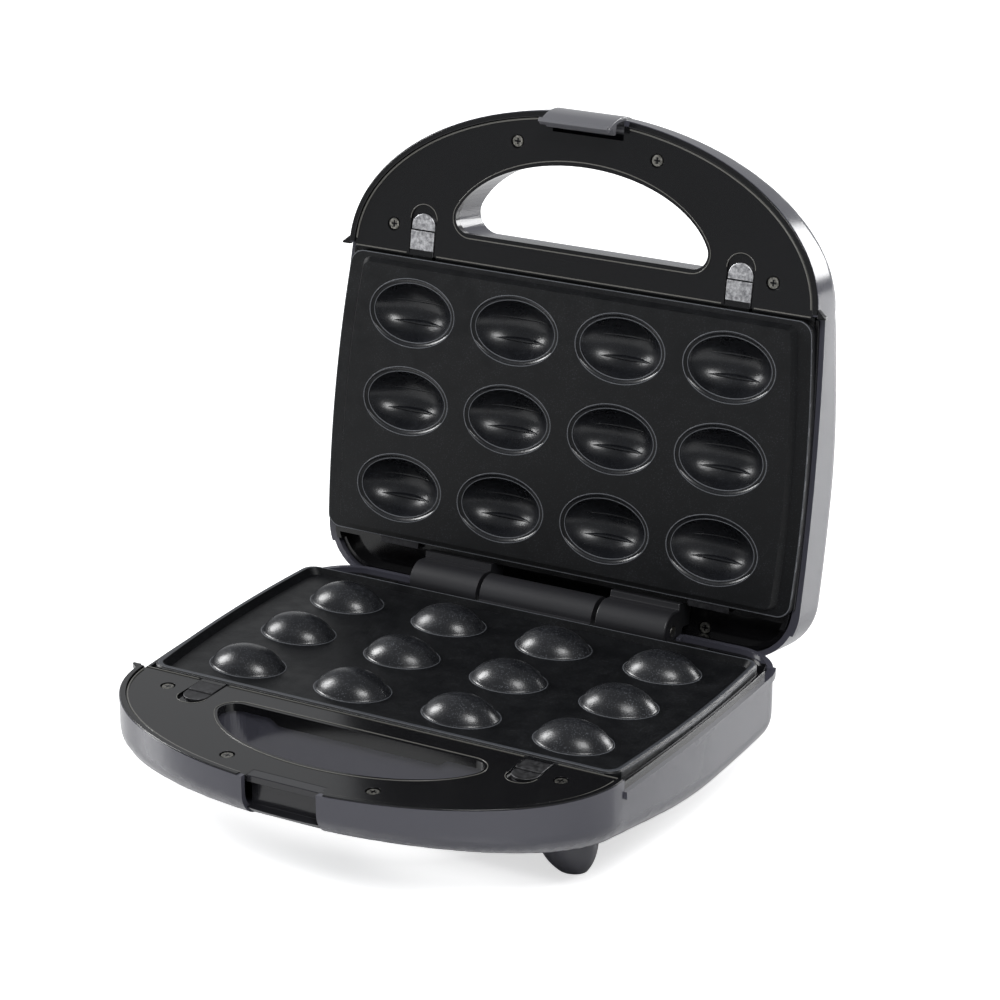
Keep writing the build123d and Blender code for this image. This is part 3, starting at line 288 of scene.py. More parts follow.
@dataclass(frozen=True)
class NonStickCoating(Finish):
    """PTFE coating sprayed on die-cast aluminium and baked.

    The spray leaves a fine fleck of lighter droplets and an orange-peel skin, so
    highlights are soft and slightly broken.
    """

    # The droplets are a few tenths of a millimetre wide. They are drawn two to three times as
    # coarse, so that they show.
    fleck_mm: float = 1.1
    peel_mm: float = 1.6
    peel_height_mm: float = 0.035
    ior: float = 1.35
    haze_mm: float = 9.0
    droplet_edge: Pair = (0.12, 0.34)
    patch_band: Pair = (0.35, 0.65)
    patch_share: Pair = (0.1, 0.75)

    def pattern(self, tree: Tree, place: Socket) -> Drawn:
        """Scatter the droplets, thicker in some patches, over an orange-peel skin.

        Args:
            tree: The node tree to add to.
            place: The Object coordinates.

        Returns:
            The share of the second colour, what varies the roughness if anything does, and the bumped normal.
        """
        droplets = add_node(tree, "ShaderNodeTexVoronoi", {"feature": "F1"},
                            {"Scale": 1 / (self.fleck_mm * MM), "Randomness": 1.0}, {"Vector": place})
        spots = add_node(tree, "ShaderNodeMapRange",
                         inputs={"From Min": self.droplet_edge[0], "From Max": self.droplet_edge[1],
                                 "To Min": 1.0, "To Max": 0.0},
                         links={"Value": droplets.outputs["Distance"]})
        haze = add_node(tree, "ShaderNodeTexNoise", inputs={"Scale": 1 / (self.haze_mm * MM), "Detail": 4.0},
                        links={"Vector": place})
        patch = add_node(tree, "ShaderNodeMapRange",
                         inputs={"From Min": self.patch_band[0], "From Max": self.patch_band[1],
                                 "To Min": self.patch_share[0], "To Max": self.patch_share[1]},
                         links={"Value": haze.outputs["Fac"]})
        share = add_node(tree, "ShaderNodeMath", {"operation": "MULTIPLY"},
                         links={0: spots.outputs["Result"], 1: patch.outputs["Result"]})
        peel = add_node(tree, "ShaderNodeTexNoise", inputs={"Scale": 1 / (self.peel_mm * MM), "Detail": 2.0},
                        links={"Vector": place})
        bump = add_node(tree, "ShaderNodeBump", inputs={"Strength": 1.0, "Distance": self.peel_height_mm * MM},
                        links={"Height": peel.outputs["Fac"]})
        return share.outputs["Value"], haze.outputs["Fac"], bump.outputs["Normal"]

    def shading(self) -> dict[str, float]:
        """The refraction of PTFE, or more where the baked skin shines."""
        return {"IOR": self.ior}


@dataclass(frozen=True)
class SheetSteel(Finish):
    """Rolled, drawn or plated metal, pressed to shape.

    Rolling leaves a mottled grey bloom and fine draw lines along the strip, so the
    metal reads as patchy satin rather than a mirror.
    """

    mottle_mm: float = 2.2
    line_mm: float = 0.35
    line_length_mm: float = 12.0
    line_height_mm: float = 0.01
    patch_band: Pair = (0.38, 0.62)

    glossier = 0.8
    duller = 1.25

    def pattern(self, tree: Tree, place: Socket) -> Drawn:
        """Mottle the metal and draw fine lines along it.

        Args:
            tree: The node tree to add to.
            place: The Object coordinates.

        Returns:
            The share of the second colour, what varies the roughness if anything does, and the bumped normal.
        """
        mottle = add_node(tree, "ShaderNodeTexNoise",
                          inputs={"Scale": 1 / (self.mottle_mm * MM), "Detail": 5.0, "Roughness": 0.65},
                          links={"Vector": place})
        patch = add_node(tree, "ShaderNodeMapRange",
                         inputs={"From Min": self.patch_band[0], "From Max": self.patch_band[1],
                                 "To Min": 0.0, "To Max": 1.0},
                         links={"Value": mottle.outputs["Fac"]})
        across, along = 1 / (self.line_mm * MM), 1 / (self.line_length_mm * MM)
        stretched = add_node(tree, "ShaderNodeMapping", inputs={"Scale": (across, along, along)},
                             links={"Vector": place})
        lines = add_node(tree, "ShaderNodeTexNoise", inputs={"Scale": 1.0, "Detail": 2.0},
                         links={"Vector": stretched.outputs["Vector"]})
        bump = add_node(tree, "ShaderNodeBump", inputs={"Strength": 1.0, "Distance": self.line_height_mm * MM},
                        links={"Height": lines.outputs["Fac"]})
        return patch.outputs["Result"], mottle.outputs["Fac"], bump.outputs["Normal"]

    def shading(self) -> dict[str, float]:
        """A bare metal."""
        return {"Metallic": 1.0}


@dataclass(frozen=True)
class ClearLens(Finish):
    """Moulded clear-tinted polycarbonate, with a fine prism pattern that spreads the lamp's light."""

    roughness: float = 0.12
    prism_mm: float = 0.8
    prism_height_mm: float = 0.1

    def pattern(self, tree: Tree, place: Socket) -> Drawn:
        """Press small even prisms.

        Args:
            tree: The node tree to add to.
            place: The Object coordinates.

        Returns:
            The share of the second colour, what varies the roughness if anything does, and the bumped normal.
        """
        prisms = add_node(tree, "ShaderNodeTexVoronoi", {"feature": "F1"},
                          {"Scale": 1 / (self.prism_mm * MM), "Randomness": 0.0}, {"Vector": place})
        bump = add_node(tree, "ShaderNodeBump", inputs={"Strength": 0.6, "Distance": self.prism_height_mm * MM},
                        links={"Height": prisms.outputs["Distance"]})
        return prisms.outputs["Distance"], None, bump.outputs["Normal"]

    def shading(self) -> dict[str, float]:
        """The refraction of polycarbonate, a third of it clear."""
        return {"IOR": 1.58, "Roughness": self.roughness, "Transmission Weight": 0.35}


@dataclass(frozen=True)
class SoftSleeve(Finish):
    """Extruded silicone or rubber: a soft even skin with a slight bloom of dust."""

    roughness: float = 0.6
    dust_mm: float = 3.0
    dust_height_mm: float = 0.05

    def pattern(self, tree: Tree, place: Socket) -> Drawn:
        """Lay the dust.

        Args:
            tree: The node tree to add to.
            place: The Object coordinates.

        Returns:
            The share of the second colour, what varies the roughness if anything does, and the bumped normal.
        """
        dust = add_node(tree, "ShaderNodeTexNoise", inputs={"Scale": 1 / (self.dust_mm * MM), "Detail": 4.0},
                        links={"Vector": place})
        bump = add_node(tree, "ShaderNodeBump", inputs={"Strength": 0.5, "Distance": self.dust_height_mm * MM},
                        links={"Height": dust.outputs["Fac"]})
        return dust.outputs["Fac"], None, bump.outputs["Normal"]

    def shading(self) -> dict[str, float]:
        """The refraction of silicone, with a faint sheen of dust."""
        return {"Roughness": self.roughness, "IOR": 1.42, "Sheen Weight": 0.1}


FINISHES = {
    "shell": MouldedPlastic("abs_polished_grey", "3a3a42", "404048", 0.16, 0.6, 0.004, 0.02),
    "cover": MouldedPlastic("abs_polished_black", "0b0b0c", "0e0e10", 0.16, 0.5, 0.004, 0.01),
    # Black plastic lightened to paint the highlights on the frame's edges.
    "edge": MouldedPlastic("abs_black_painted_highlight_edge", "54534f", "605f5b", 0.24, 0.5, 0.004),
    "satin": MouldedPlastic("nylon_satin_black", "1e1e20", "242427", 0.34, 0.5, 0.01),
    "matte": MouldedPlastic("nylon_spark_textured_black", "131316", "19191c", 0.5, 0.5, 0.03),
    "clasp": MouldedPlastic("abs_polished_grey_clasp", "5c5c60", "646468", 0.2, 0.5, 0.004),
    "keeper": MouldedPlastic("abs_polished_charcoal", "1c1c1f", "222225", 0.16, 0.5, 0.004),
    "foot": MouldedPlastic("abs_satin_charcoal", "3a3a40", "414147", 0.35, 0.5, 0.02),
    "pale": MouldedPlastic("melamine_moulded_cream", "d8d2c4", "ccc6b6", 0.5, 0.5, 0.02),
    "plate": NonStickCoating("ptfe_sprayed_charcoal", "08090b", "2c2e33", 0.42, 0.9),
    "dome": NonStickCoating("ptfe_sprayed_charcoal_domes", "16171a", "6a6d73", 0.28, 0.75, 0.8, 0.05, 1.45),
    "lining": NonStickCoating("ptfe_sprayed_charcoal_bowls", "121316", "3c3f45", 0.28, 0.75, 1.0, 0.04, 1.45),
    "rim": NonStickCoating("ptfe_sprayed_rim", "3a3c40", "4c4e53", 0.34),
    # Lighter coat for the thin lines on the plates' edges: partly the coat thinning over an edge, partly painted
    # highlight.
    "thin": NonStickCoating("ptfe_thin_edge_coat_and_painted_highlight", "54565a", "7a7c81", 0.32),
    "casting": SheetSteel("aluminium_die_cast_uncoated", "77787a", "8b8c8e", 0.45),
    # A darker copy of the tab steel below: painted shade for the base's tabs.
    "dark_tab": SheetSteel("steel_cold_rolled_painted_shade", "454546", "5c5c5e", 0.5),
    "hook": SheetSteel("steel_spring_blued", "3c3c3e", "4a4a4c", 0.4),
    "tab": SheetSteel("steel_cold_rolled_mottled", "8c8c8f", "d0d0d2", 0.42, 1.6),
    "screw": SheetSteel("steel_zinc_plated_dulled", "5d5c57", "a4a29b", 0.4, 0.9),
    "spring": SheetSteel("steel_spring_drawn", "a9a9aa", "8b8b8c", 0.3, 1.0),
    "sheath": SheetSteel("steel_heater_sheath_oxidised", "57524d", "6e6861", 0.5),
    "reflector": SheetSteel("aluminium_sheet_bright", "c9cacb", "b5b6b7", 0.3, 6.0),
    "fuse": SheetSteel("fuse_case_tinned", "b0ab9c", "c4bfb0", 0.35),
    "sleeve": SoftSleeve("silicone_extruded_ivory", "cfcabd", "ddd8cc"),
    "bush": SoftSleeve("rubber_moulded_black", "151515", "1d1d1d"),
    "red": ClearLens("polycarbonate_red", "b3160f", "5c0805"),
    "green": ClearLens("polycarbonate_green", "128a2c", "06471a"),
    "lamp": ClearLens("lamp_glass_clear", "d8c4b8", "b89c8c"),
}

FINISH_NODES = {
    "shell": "base_shell lid_shell",
    "cover": "base_cover_frame lid_cover_frame",
    "plate": "lower_plate upper_plate",
    "sheath": "lower_heater upper_heater",
    "reflector": "lower_reflector upper_reflector",
    "screw": "lower_reflector_screws upper_reflector_screws base_cover_screws lid_cover_screws foot_screws"
             " hinge_pin clasp_pin",
    "spring": "lower_heater_supports upper_heater_supports lower_plate_hooks upper_plate_hooks"
              " lower_left_spring lower_right_spring upper_left_spring upper_right_spring",
    "matte": "lower_thermostat upper_thermostat clasp_keeper base_hinge_knuckle lid_left_hinge_knuckle"
             " lid_right_hinge_knuckle",
    "fuse": "thermal_fuse",
    "pale": "terminal_block",
    "sleeve": "base_wiring lid_wiring",
    "bush": "cord_inlet",
    "foot": "front_left_foot front_right_foot rear_left_foot rear_right_foot",
    "tab": "lower_left_release lower_right_release upper_left_release upper_right_release",
    "clasp": "clasp",
    "red": "power_light_lens",
    "green": "ready_light_lens",
    "lamp": "pilot_lamps",
}


class Finishes:
    """The materials, each made once."""

    def __init__(self) -> None:
        """Build every finish."""
        self.materials = {key: finish.build() for key, finish in FINISHES.items()}

    def __getitem__(self, key: str) -> bpy.types.Material:
        """The material of a finish."""
        return self.materials[key]

    def dress(self, nodes: dict[str, bpy.types.Object]) -> None:
        """Give every CAD node its finish.

        Args:
            nodes: The frame's nodes by name.
        """
        for key, names in FINISH_NODES.items():
            for name in names.split():
                nodes[name].data.materials.clear()
                nodes[name].data.materials.append(self[key])


# Mesh work

def as_mesh(bm: BMesh, name: str) -> bpy.types.Mesh:
    """Write a mesh out and free it.

    Args:
        bm: The mesh that was worked on.
        name: The new mesh's name.

    Returns:
        The mesh for an object.
    """
    mesh = bpy.data.meshes.new(name)
    bm.to_mesh(mesh)
    bm.free()
    return mesh


def map_grid(bm: BMesh, columns: int, rows: int, place: Path) -> list[bmesh.types.BMVert]:
    """Lay a grid and bend it to a surface.

    Args:
        bm: The mesh to add to.
        columns: Faces along the first way.
        rows: Faces along the second way.
        place: Gives the point for two parameters that run from 0 to 1.

    Returns:
        The new vertices.
    """
    made = bmesh.ops.create_grid(bm, x_segments=columns, y_segments=rows, size=0.5)["verts"]
    for vert in made:
        vert.co = place(vert.co.x + 0.5, vert.co.y + 0.5)
    return made


def turn_profile(profile: Section, steps: int) -> bpy.types.Mesh:
    """Spin a profile of radius and height about Z.

    Args:
        profile: The points from the axis outwards, or the other way.
        steps: How many steps make the full turn.

    Returns:
        A mesh with its seam and pole closed.
    """
    bm = bmesh.new()
    verts = [bm.verts.new((radius, 0, height)) for radius, height in profile]
    edges = [bm.edges.new(pair) for pair in zip(verts, verts[1:])]
    bmesh.ops.spin(bm, geom=verts + edges, cent=(0, 0, 0), axis=(0, 0, 1), dvec=(0, 0, 0),
                   angle=math.tau, steps=steps, use_merge=True)
    bmesh.ops.remove_doubles(bm, verts=bm.verts[:], dist=1e-5)
    return as_mesh(bm, "turned")


def bezier(start: Sequence[float], corner: Sequence[float], end: Sequence[float], steps: int) -> Section:
    """Round a corner of a profile.

    Args:
        start: Where the rounding starts.
        corner: The sharp corner.
        end: Where the rounding ends.
        steps: How many pieces it has.

    Returns:
        The points from start to end.
    """
    points = []
    for step in range(steps + 1):
        t = step / steps
        points.append(tuple((1 - t) ** 2 * a + 2 * t * (1 - t) * b + t * t * c
                            for a, b, c in zip(start, corner, end)))
    return points


def box(bm: BMesh, low: Sequence[float], high: Sequence[float]) -> list[bmesh.types.BMVert]:
    """Add a box between two corners.

    Args:
        bm: The mesh to add to.
        low: The lower corner.
        high: The upper corner.

    Returns:
        The new vertices.
    """
    middle = (Vector(low) + Vector(high)) / 2
    spread = Matrix.Diagonal((*(Vector(high) - Vector(low)), 1))
    return bmesh.ops.create_cube(bm, size=1.0, matrix=Matrix.Translation(middle) @ spread)["verts"]


@dataclass(frozen=True)
class Bar:
    """A bar's section with its two top edges rounded, from the edge and the level that it follows."""

    outer: float
    inner: float
    top: float
    bottom: float
    radius: float

    def section(self, level: float = 0.0) -> Section:
        """Draw the section.

        Args:
            level: The height that the top and the bottom are counted from.

        Returns:
            Its corners, as the distance inside the edge and the height.
        """
        top, bottom = level + self.top, level + self.bottom
        outer = bezier((self.outer, top - self.radius), (self.outer, top), (self.outer + self.radius, top), 4)
        inner = bezier((self.inner - self.radius, top), (self.inner, top), (self.inner, top - self.radius), 4)
        return [(self.outer, bottom)] + outer + inner + [(self.inner, bottom)]


def bead(bm: BMesh, path: Path, section: Section, steps: int) -> None:
    """Sweep a closed section of inset and height along an edge, with closed ends.

    Args:
        bm: The mesh to add to.
        path: Gives a point for a place along the edge and an inset.
        section: The section's corners.
        steps: How many steps along the edge.
    """
    ring = list(section) + [section[0]]
    count = len(section)

    def place(u: float, v: float) -> Vector:
        """Find a point of the bead.

        Args:
            u: The share of the way along.
            v: The share of the way round the section.

        Returns:
            The point.
        """
        inset, height = ring[round(v * count)]
        point = path(u, inset)
        return Vector((point.x, point.y, height))

    verts = map_grid(bm, steps, count, place)
    bmesh.ops.remove_doubles(bm, verts=verts, dist=0.0005)
    bmesh.ops.holes_fill(bm, edges=[edge for edge in bm.edges if edge.is_boundary], sides=0)


@dataclass
class Workshop:
    """Turns meshes into finished pieces, and keeps count of them."""

    frame: dict
    finishes: Finishes
    made: list[str] = field(default_factory=list)
    edge_angle: float = 40.0
    merge_mm: float = 0.004
    flat_angle: float = 0.4

    def merged(self, node: str, apart_mm: float) -> BMesh:
        """Copy a CAD node's loose triangles and join them.

        Args:
            node: The CAD node.
            apart_mm: Corners closer than this become one.

        Returns:
            The copy, in metres and in place.
        """
        bm = bmesh.new()
        bm.from_mesh(self.frame["nodes"][node].data)
        bmesh.ops.remove_doubles(bm, verts=bm.verts[:], dist=apart_mm * MM)
        return bm

    def finish(self, name: str, mesh: bpy.types.Mesh, finish: str, body: str, bevel_mm: float,
               smooth_deg: float) -> bpy.types.Object:
        """Dress a mesh and put it on its body.

        Args:
            name: The piece's plain name.
            mesh: Its mesh, in metres and in place.
            finish: The finish's key.
            body: The body that it moves with.
            bevel_mm: The radius that its edges are rounded to, or 0.
            smooth_deg: Edges sharper than this stay sharp.

        Returns:
            The finished object.
        """
        mesh.materials.clear()
        mesh.materials.append(self.finishes[finish])
        for polygon in mesh.polygons:
            polygon.use_smooth = True
        mesh.set_sharp_from_angle(angle=math.radians(smooth_deg))
        piece = bpy.data.objects.new(name, mesh)
        bpy.context.scene.collection.objects.link(piece)
        if bevel_mm:
            bevel = piece.modifiers.new("edge_radius", "BEVEL")
            bevel.width = bevel_mm * MM
            bevel.segments = 2
            bevel.limit_method = "ANGLE"
            bevel.angle_limit = math.radians(self.edge_angle)
            bevel.use_clamp_overlap = True
            bevel.miter_outer = "MITER_ARC"
        weighted = piece.modifiers.new("weighted_normal", "WEIGHTED_NORMAL")
        weighted.keep_sharp = True
        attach(piece, body)
        self.made.append(name)
        LOG.info("%s: %d faces on %s", name, len(mesh.polygons), body)
        return piece

    def piece(self, name: str, bm: BMesh, half: Half, finish: str, *, body: str = "",
              replaces: Sequence[str] = (), bevel_mm: float = 0.0, smooth_deg: float = 35.0) -> None:
        """Place a mesh that was built in a half's own millimetres.

        Args:
            name: The piece's plain name.
            bm: The mesh, which is freed.
            half: The half that it belongs to.
            finish: The finish's key.
            body: The body it moves with, when that isn't the half's.
            replaces: The CAD nodes that it stands for.
            bevel_mm: The radius that its edges are rounded to, or 0.
            smooth_deg: Edges sharper than this stay sharp.
        """
        bmesh.ops.remove_doubles(bm, verts=bm.verts[:], dist=0.002)
        bmesh.ops.recalc_face_normals(bm, faces=bm.faces[:])
        bmesh.ops.transform(bm, matrix=half.scaled_place(), verts=bm.verts[:])
        if half is Half.LID:
            bmesh.ops.reverse_faces(bm, faces=bm.faces[:])
        piece = self.finish(name, as_mesh(bm, name), finish, body or half.value, bevel_mm, smooth_deg)
        if replaces:
            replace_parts(piece, *replaces)

    def softened(self, node: str, finish: str, body: str, bevel_mm: float = 0.3, smooth_deg: float = 32.0,
                 reshape: Callable[[BMesh], None] | None = None, flatten: bool = True) -> None:
        """Stand in for a CAD node with a merged copy whose edges have their moulding radius.

        Args:
            node: The CAD node.
            finish: The finish's key.
            body: The body it moves with.
            bevel_mm: The radius of its edges.
            smooth_deg: Edges sharper than this stay sharp.
            reshape: Changes the merged copy before its edges are rounded, in metres and in place.
            flatten: Join faces that lie in one plane. Off where a wide fillet has to shade evenly.
        """
        bm = self.merged(node, self.merge_mm)
        if reshape:
            reshape(bm)
        bmesh.ops.dissolve_degenerate(bm, edges=bm.edges[:], dist=self.merge_mm * MM)
        if flatten:
            bmesh.ops.dissolve_limit(bm, angle_limit=math.radians(self.flat_angle), verts=bm.verts[:],
                                     edges=bm.edges[:], use_dissolve_boundaries=False)
        bmesh.ops.recalc_face_normals(bm, faces=bm.faces[:])
        name = node + "_finished"
        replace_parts(self.finish(name, as_mesh(bm, name), finish, body, bevel_mm, smooth_deg), node)


# The pieces

def bowed(y: float, front: float, rear: float, halves: Triple) -> float:
    """Give the half width along a bowed side, which is a parabola.

    Args:
        y: The place along it.
        front: Its front end.
        rear: Its rear end.
        halves: The half widths at the front, at 0 and at the rear.

    Returns:
        The half width there.
    """
    at_front, at_middle, at_rear = halves
    return (at_front * y * (y - rear) / (front * (front - rear))
            + at_middle * (y - front) * (y - rear) / (front * rear)
            + at_rear * y * (y - front) / (rear * (rear - front)))


@dataclass(frozen=True)
class Outline:
    """The plan of a half, in millimetres: bowed sides and a half ellipse round the handle."""

    halves: Triple = (117.0, 119.8, 118.2)
    rear_y: float = 88.0
    handle_start: float = -68.0
    handle_reach: float = 73.0
    handle_steps: int = 64
    side_steps: int = 48

    def handle(self, along: float, inset: float) -> Vector:
        """Find a point on the handle's arc.

        Args:
            along: 0 at the left end to 1 at the right end.
            inset: How far inside the outer edge.

        Returns:
            The point at the parting plane.
        """
        turn = math.pi * (1 + along)
        half, reach = self.halves[0], self.handle_reach
        point = Vector((half * math.cos(turn), self.handle_start + reach * math.sin(turn), 0))
        outward = Vector((math.cos(turn) / half, math.sin(turn) / reach, 0)).normalized()
        return point - outward * inset

    def bead_handle(self, bm: BMesh, section: Section, start: float, end: float) -> None:
        """Sweep a section along the handle's arc, on both sides of the clasp.

        Args:
            bm: The mesh to add to.
            section: The section's corners.
            start: Where it starts, as a share of the arc.
            end: Where it ends beside the clasp.
        """
        bead(bm, lambda u, inset: self.handle(start + u * (end - start), inset), section, self.handle_steps)
        bead(bm, lambda u, inset: self.handle(1 - end + u * (end - start), inset), section, self.handle_steps)

    def bead_side(self, bm: BMesh, section: Section, sign: int, start_y: float, end_y: float) -> None:
        """Sweep a section along a bowed side.

        Args:
            bm: The mesh to add to.
            section: The section's corners.
            sign: 1 for the right side, -1 for the left.
            start_y: The front end.
            end_y: The rear end.
        """
        def path(u: float, inset: float) -> Vector:
            """A point on the side."""
            y = start_y + (end_y - start_y) * u
            return Vector((sign * (bowed(y, self.handle_start, self.rear_y, self.halves) - inset), y, 0))

        bead(bm, path, section, self.side_steps)


OUTLINE = Outline()


@dataclass(frozen=True)
class HandleHole:
    """The plan of the handle hole: a half ellipse with a flat side and round corners."""

    flat_y: float = -80.0
    half_width: float = 64.5
    reach: float = 37.0
    corner: float = 7.0
    steps: int = 200
    flat_share: float = 0.3
    corner_share: float = 0.15

    def path(self, along: float, grow: float) -> Vector:
        """Find a point on the hole's edge.

        Args:
            along: 0 to 1, once round from the middle of the flat side.
            grow: How far outside the edge.

        Returns:
            The point at the parting plane.
        """
        half, reach, flat = self.half_width + grow, self.reach + 2 * grow, self.flat_y + grow
        radius = self.corner + grow
        start = self.corner_end(half, reach, radius)
        slope = Vector((math.cos(start) / half, -math.sin(start) / reach)).normalized()
        middle_x = half * math.cos(start) - radius * slope.x
        sign, share = (1, along * 2) if along < 0.5 else (-1, (1 - along) * 2)
        arc_from = self.flat_share + self.corner_share
        if share < self.flat_share:
            return Vector((sign * middle_x * share / self.flat_share, flat, 0))
        if share < arc_from:
            turn = (share - self.flat_share) / self.corner_share * math.acos(slope.y)
            return Vector((sign * (middle_x + radius * math.sin(turn)), flat - radius * (1 - math.cos(turn)), 0))
        turn = start + (math.pi / 2 - start) * (share - arc_from) / (1 - arc_from)
        return Vector((sign * half * math.cos(turn), flat - reach * math.sin(turn), 0))

    def corner_end(self, half: float, reach: float, radius: float) -> float:
        """Find where a corner's rounding meets the half ellipse.

        Args:
            half: Half the ellipse's length.
            reach: Its reach from the flat side.
            radius: The corner's radius.

        Returns:
            The ellipse's parameter there, in radians.
        """
        low, high = 0.0, math.pi / 2
        for _ in range(40):
            turn = (low + high) / 2
            slope = Vector((math.cos(turn) / half, math.sin(turn) / reach)).normalized()
            if radius * (1 + slope.y) > reach * math.sin(turn):
                low = turn
            else:
                high = turn
        return low


@dataclass(frozen=True)
class PlatePlan:
    """The plan of a cooking plate: bowed sides, straight front and rear, round corners."""

    halves: Triple
    front: float
    rear: float
    corner: float = 6.0
    least_corner: float = 1.5
    steps: int = 240
    rear_share: float = 1.0
    straight_share: float = 0.25
    corner_share: float = 0.1

    def path(self, along: float, inset: float) -> Vector:
        """Find a point on the plate's edge.

        Args:
            along: 0 to 1, once round from the middle of the front side.
            inset: How far inside the edge.

        Returns:
            The point at the parting plane.
        """
        sign, share = (1, along * 2) if along < 0.5 else (-1, (1 - along) * 2)
        radius = max(self.corner - inset / 2, self.least_corner)
        front, rear = self.front + inset, self.rear - inset * self.rear_share
        side_from = self.straight_share + self.corner_share
        if share < self.straight_share:
            x, y = (self.half_at(front, inset) - radius) * share / self.straight_share, front
        elif share < side_from:
            turn = (share - self.straight_share) / self.corner_share * math.pi / 2
            y = front + radius * (1 - math.cos(turn))
            x = self.half_at(y, inset) - radius * (1 - math.sin(turn))
        elif share < 1 - side_from:
            y = front + radius + (rear - front - 2 * radius) * (share - side_from) / (1 - 2 * side_from)
            x = self.half_at(y, inset)
        elif share < 1 - self.straight_share:
            turn = (share - 1 + side_from) / self.corner_share * math.pi / 2
            y = rear - radius * (1 - math.sin(turn))
            x = self.half_at(y, inset) - radius * (1 - math.cos(turn))
        else:
            x, y = (self.half_at(rear, inset) - radius) * (1 - share) / self.straight_share, rear
        return Vector((sign * x, y, 0))

    def half_at(self, y: float, inset: float) -> float:
        """The half width at a place along the bowed sides."""
        return bowed(y, self.front, self.rear, self.halves) - inset


HOLE = HandleHole()
LOWER_HALVES = (111.8, 116.3, 114.8)
LOWER_PLAN = PlatePlan(LOWER_HALVES, -66.5, 64.8)
LOWER_RIM = PlatePlan(LOWER_HALVES, -66.5, 64.8, rear_share=0.48)
UPPER_PLAN = PlatePlan((114.7, 119.0, 117.5), -65.4, 65.3)


@dataclass(frozen=True)
class Housing:
    """The outer housing of a half: polished grey, with a black trim along its rim."""

    half: Half
    shell: str
    side_top: float
    ear_signs: tuple[int, ...]
    trim: Bar = Bar(0.35, 2.75, -0.35, -1.6, 0.35)
    trim_start: float = 0.004
    notch_angle: float = 0.0555
    side_out: float = 1.1
    side_in: float = 2.7
    side_bottom: float = -6.4
    side_radius: float = 0.3
    side_ends: Pair = (-66.0, 62.0)
    ear_low: Triple = (116.6, -71.4, -3.2)
    ear_high: Triple = (120.6, -67.2, -0.6)
    ear_point_y: float = -68.2

    def build(self, shop: Workshop) -> None:
        """Build the housing and its trims.

        Args:
            shop: The workshop that finishes the pieces.
        """
        shop.softened(self.shell, "shell", self.half.value, bevel_mm=0.45, flatten=False)
        self.trims(shop)
        self.ears(shop)

    def trims(self, shop: Workshop) -> None:
        """Lay the black trim round the handle, open at the clasp, and along both sides of the plate.

        Args:
            shop: The workshop that finishes the pieces.
        """
        bm = bmesh.new()
        OUTLINE.bead_handle(bm, self.trim.section(), self.trim_start, 0.5 - self.notch_angle)
        shop.piece(f"{self.half.value}_handle_trim", bm, self.half, "cover")
        bm = bmesh.new()
        side = Bar(self.side_out, self.side_in, self.side_top, self.side_bottom, self.side_radius)
        for sign in (1, -1):
            OUTLINE.bead_side(bm, side.section(), sign, *self.side_ends)
        shop.piece(f"{self.half.value}_side_trims", bm, self.half, "cover")

    def ears(self, shop: Workshop) -> None:
        """Add the small pointed lugs where the handle's rim ends.

        Args:
            shop: The workshop that finishes the pieces.
        """
        bm = bmesh.new()
        middle = (Vector(self.ear_low) + Vector(self.ear_high)) / 2
        for sign in self.ear_signs:
            for vert in box(bm, self.ear_low, self.ear_high):
                if vert.co.x > middle.x and vert.co.y < middle.y:
                    vert.co.y = self.ear_point_y
                vert.co.x *= sign
        shop.piece(f"{self.half.value}_rim_ears", bm, self.half, "cover", bevel_mm=0.3)


@dataclass(frozen=True)
class CoverFrame:
    """The black inner frame of a half, with pale beads along its edges whose colour paints their highlights."""

    half: Half
    node: str
    face: float = -1.4
    lip: Bar = Bar(3.15, 3.95, 0.45, -0.4, 0.3)
    lip_start: float = 0.012
    notch_angle: float = 0.057
    hole_ring: Bar = Bar(1.75, 2.3, 0.25, -0.4, 0.2)
    slot_ring: Bar = Bar(0.05, 0.4, 0.12, -0.4, 0.1)
    edge_x: float = 113.5
    edge_y: Pair = (-67.7, -67.15)
    edge_z: Pair = (-0.4, 0.3)
    tab_x: float = 79.0
    tab_gap: float = 7.8
    slot_half: float = 6.6
    slot_y: float = -83.5
    slot_steps: int = 24

    def build(self, shop: Workshop) -> None:
        """Build the frame and the pale beads that paint the highlights on its edges.

        Args:
            shop: The workshop that finishes the pieces.
        """
        shop.softened(self.node, "cover", self.half.value, bevel_mm=0.35)
        bm = bmesh.new()
        OUTLINE.bead_handle(bm, self.lip.section(self.face), self.lip_start, 0.5 - self.notch_angle)
        bead(bm, HOLE.path, self.hole_ring.section(self.face), HOLE.steps)
        self.plate_edge(bm)
        for x in (self.tab_x, -self.tab_x):
            self.slot_end(bm, x)
        shop.piece(f"{self.half.value}_frame_painted_highlights", bm, self.half, "edge")

    def plate_edge(self, bm: BMesh) -> None:
        """Line the frame's edge beside the plate with a pale bar that paints its highlight, open at the release
        tabs.

        Args:
            bm: The mesh to add to.
        """
        beyond, before = self.tab_x + self.tab_gap, self.tab_x - self.tab_gap
        for start, end in ((-self.edge_x, -beyond), (-before, before), (beyond, self.edge_x)):
            box(bm, (start, self.edge_y[0], self.face + self.edge_z[0]),
                (end, self.edge_y[1], self.face + self.edge_z[1]))

    def slot_end(self, bm: BMesh, x: float) -> None:
        """Line the round end of one release tab's slot with a pale bead that paints its highlight.

        Args:
            bm: The mesh to add to.
            x: The slot's middle.
        """
        def path(u: float, inset: float) -> Vector:
            """Find a point on the slot's round end.

            Args:
                u: The share of the way round.
                inset: How far outside the slot.

            Returns:
                The point at the parting plane.
            """
            turn = math.pi * (1 + u)
            radius = self.slot_half + inset
            return Vector((x + radius * math.cos(turn), self.slot_y + radius * math.sin(turn), 0))

        bead(bm, path, self.slot_ring.section(self.face), self.slot_steps)


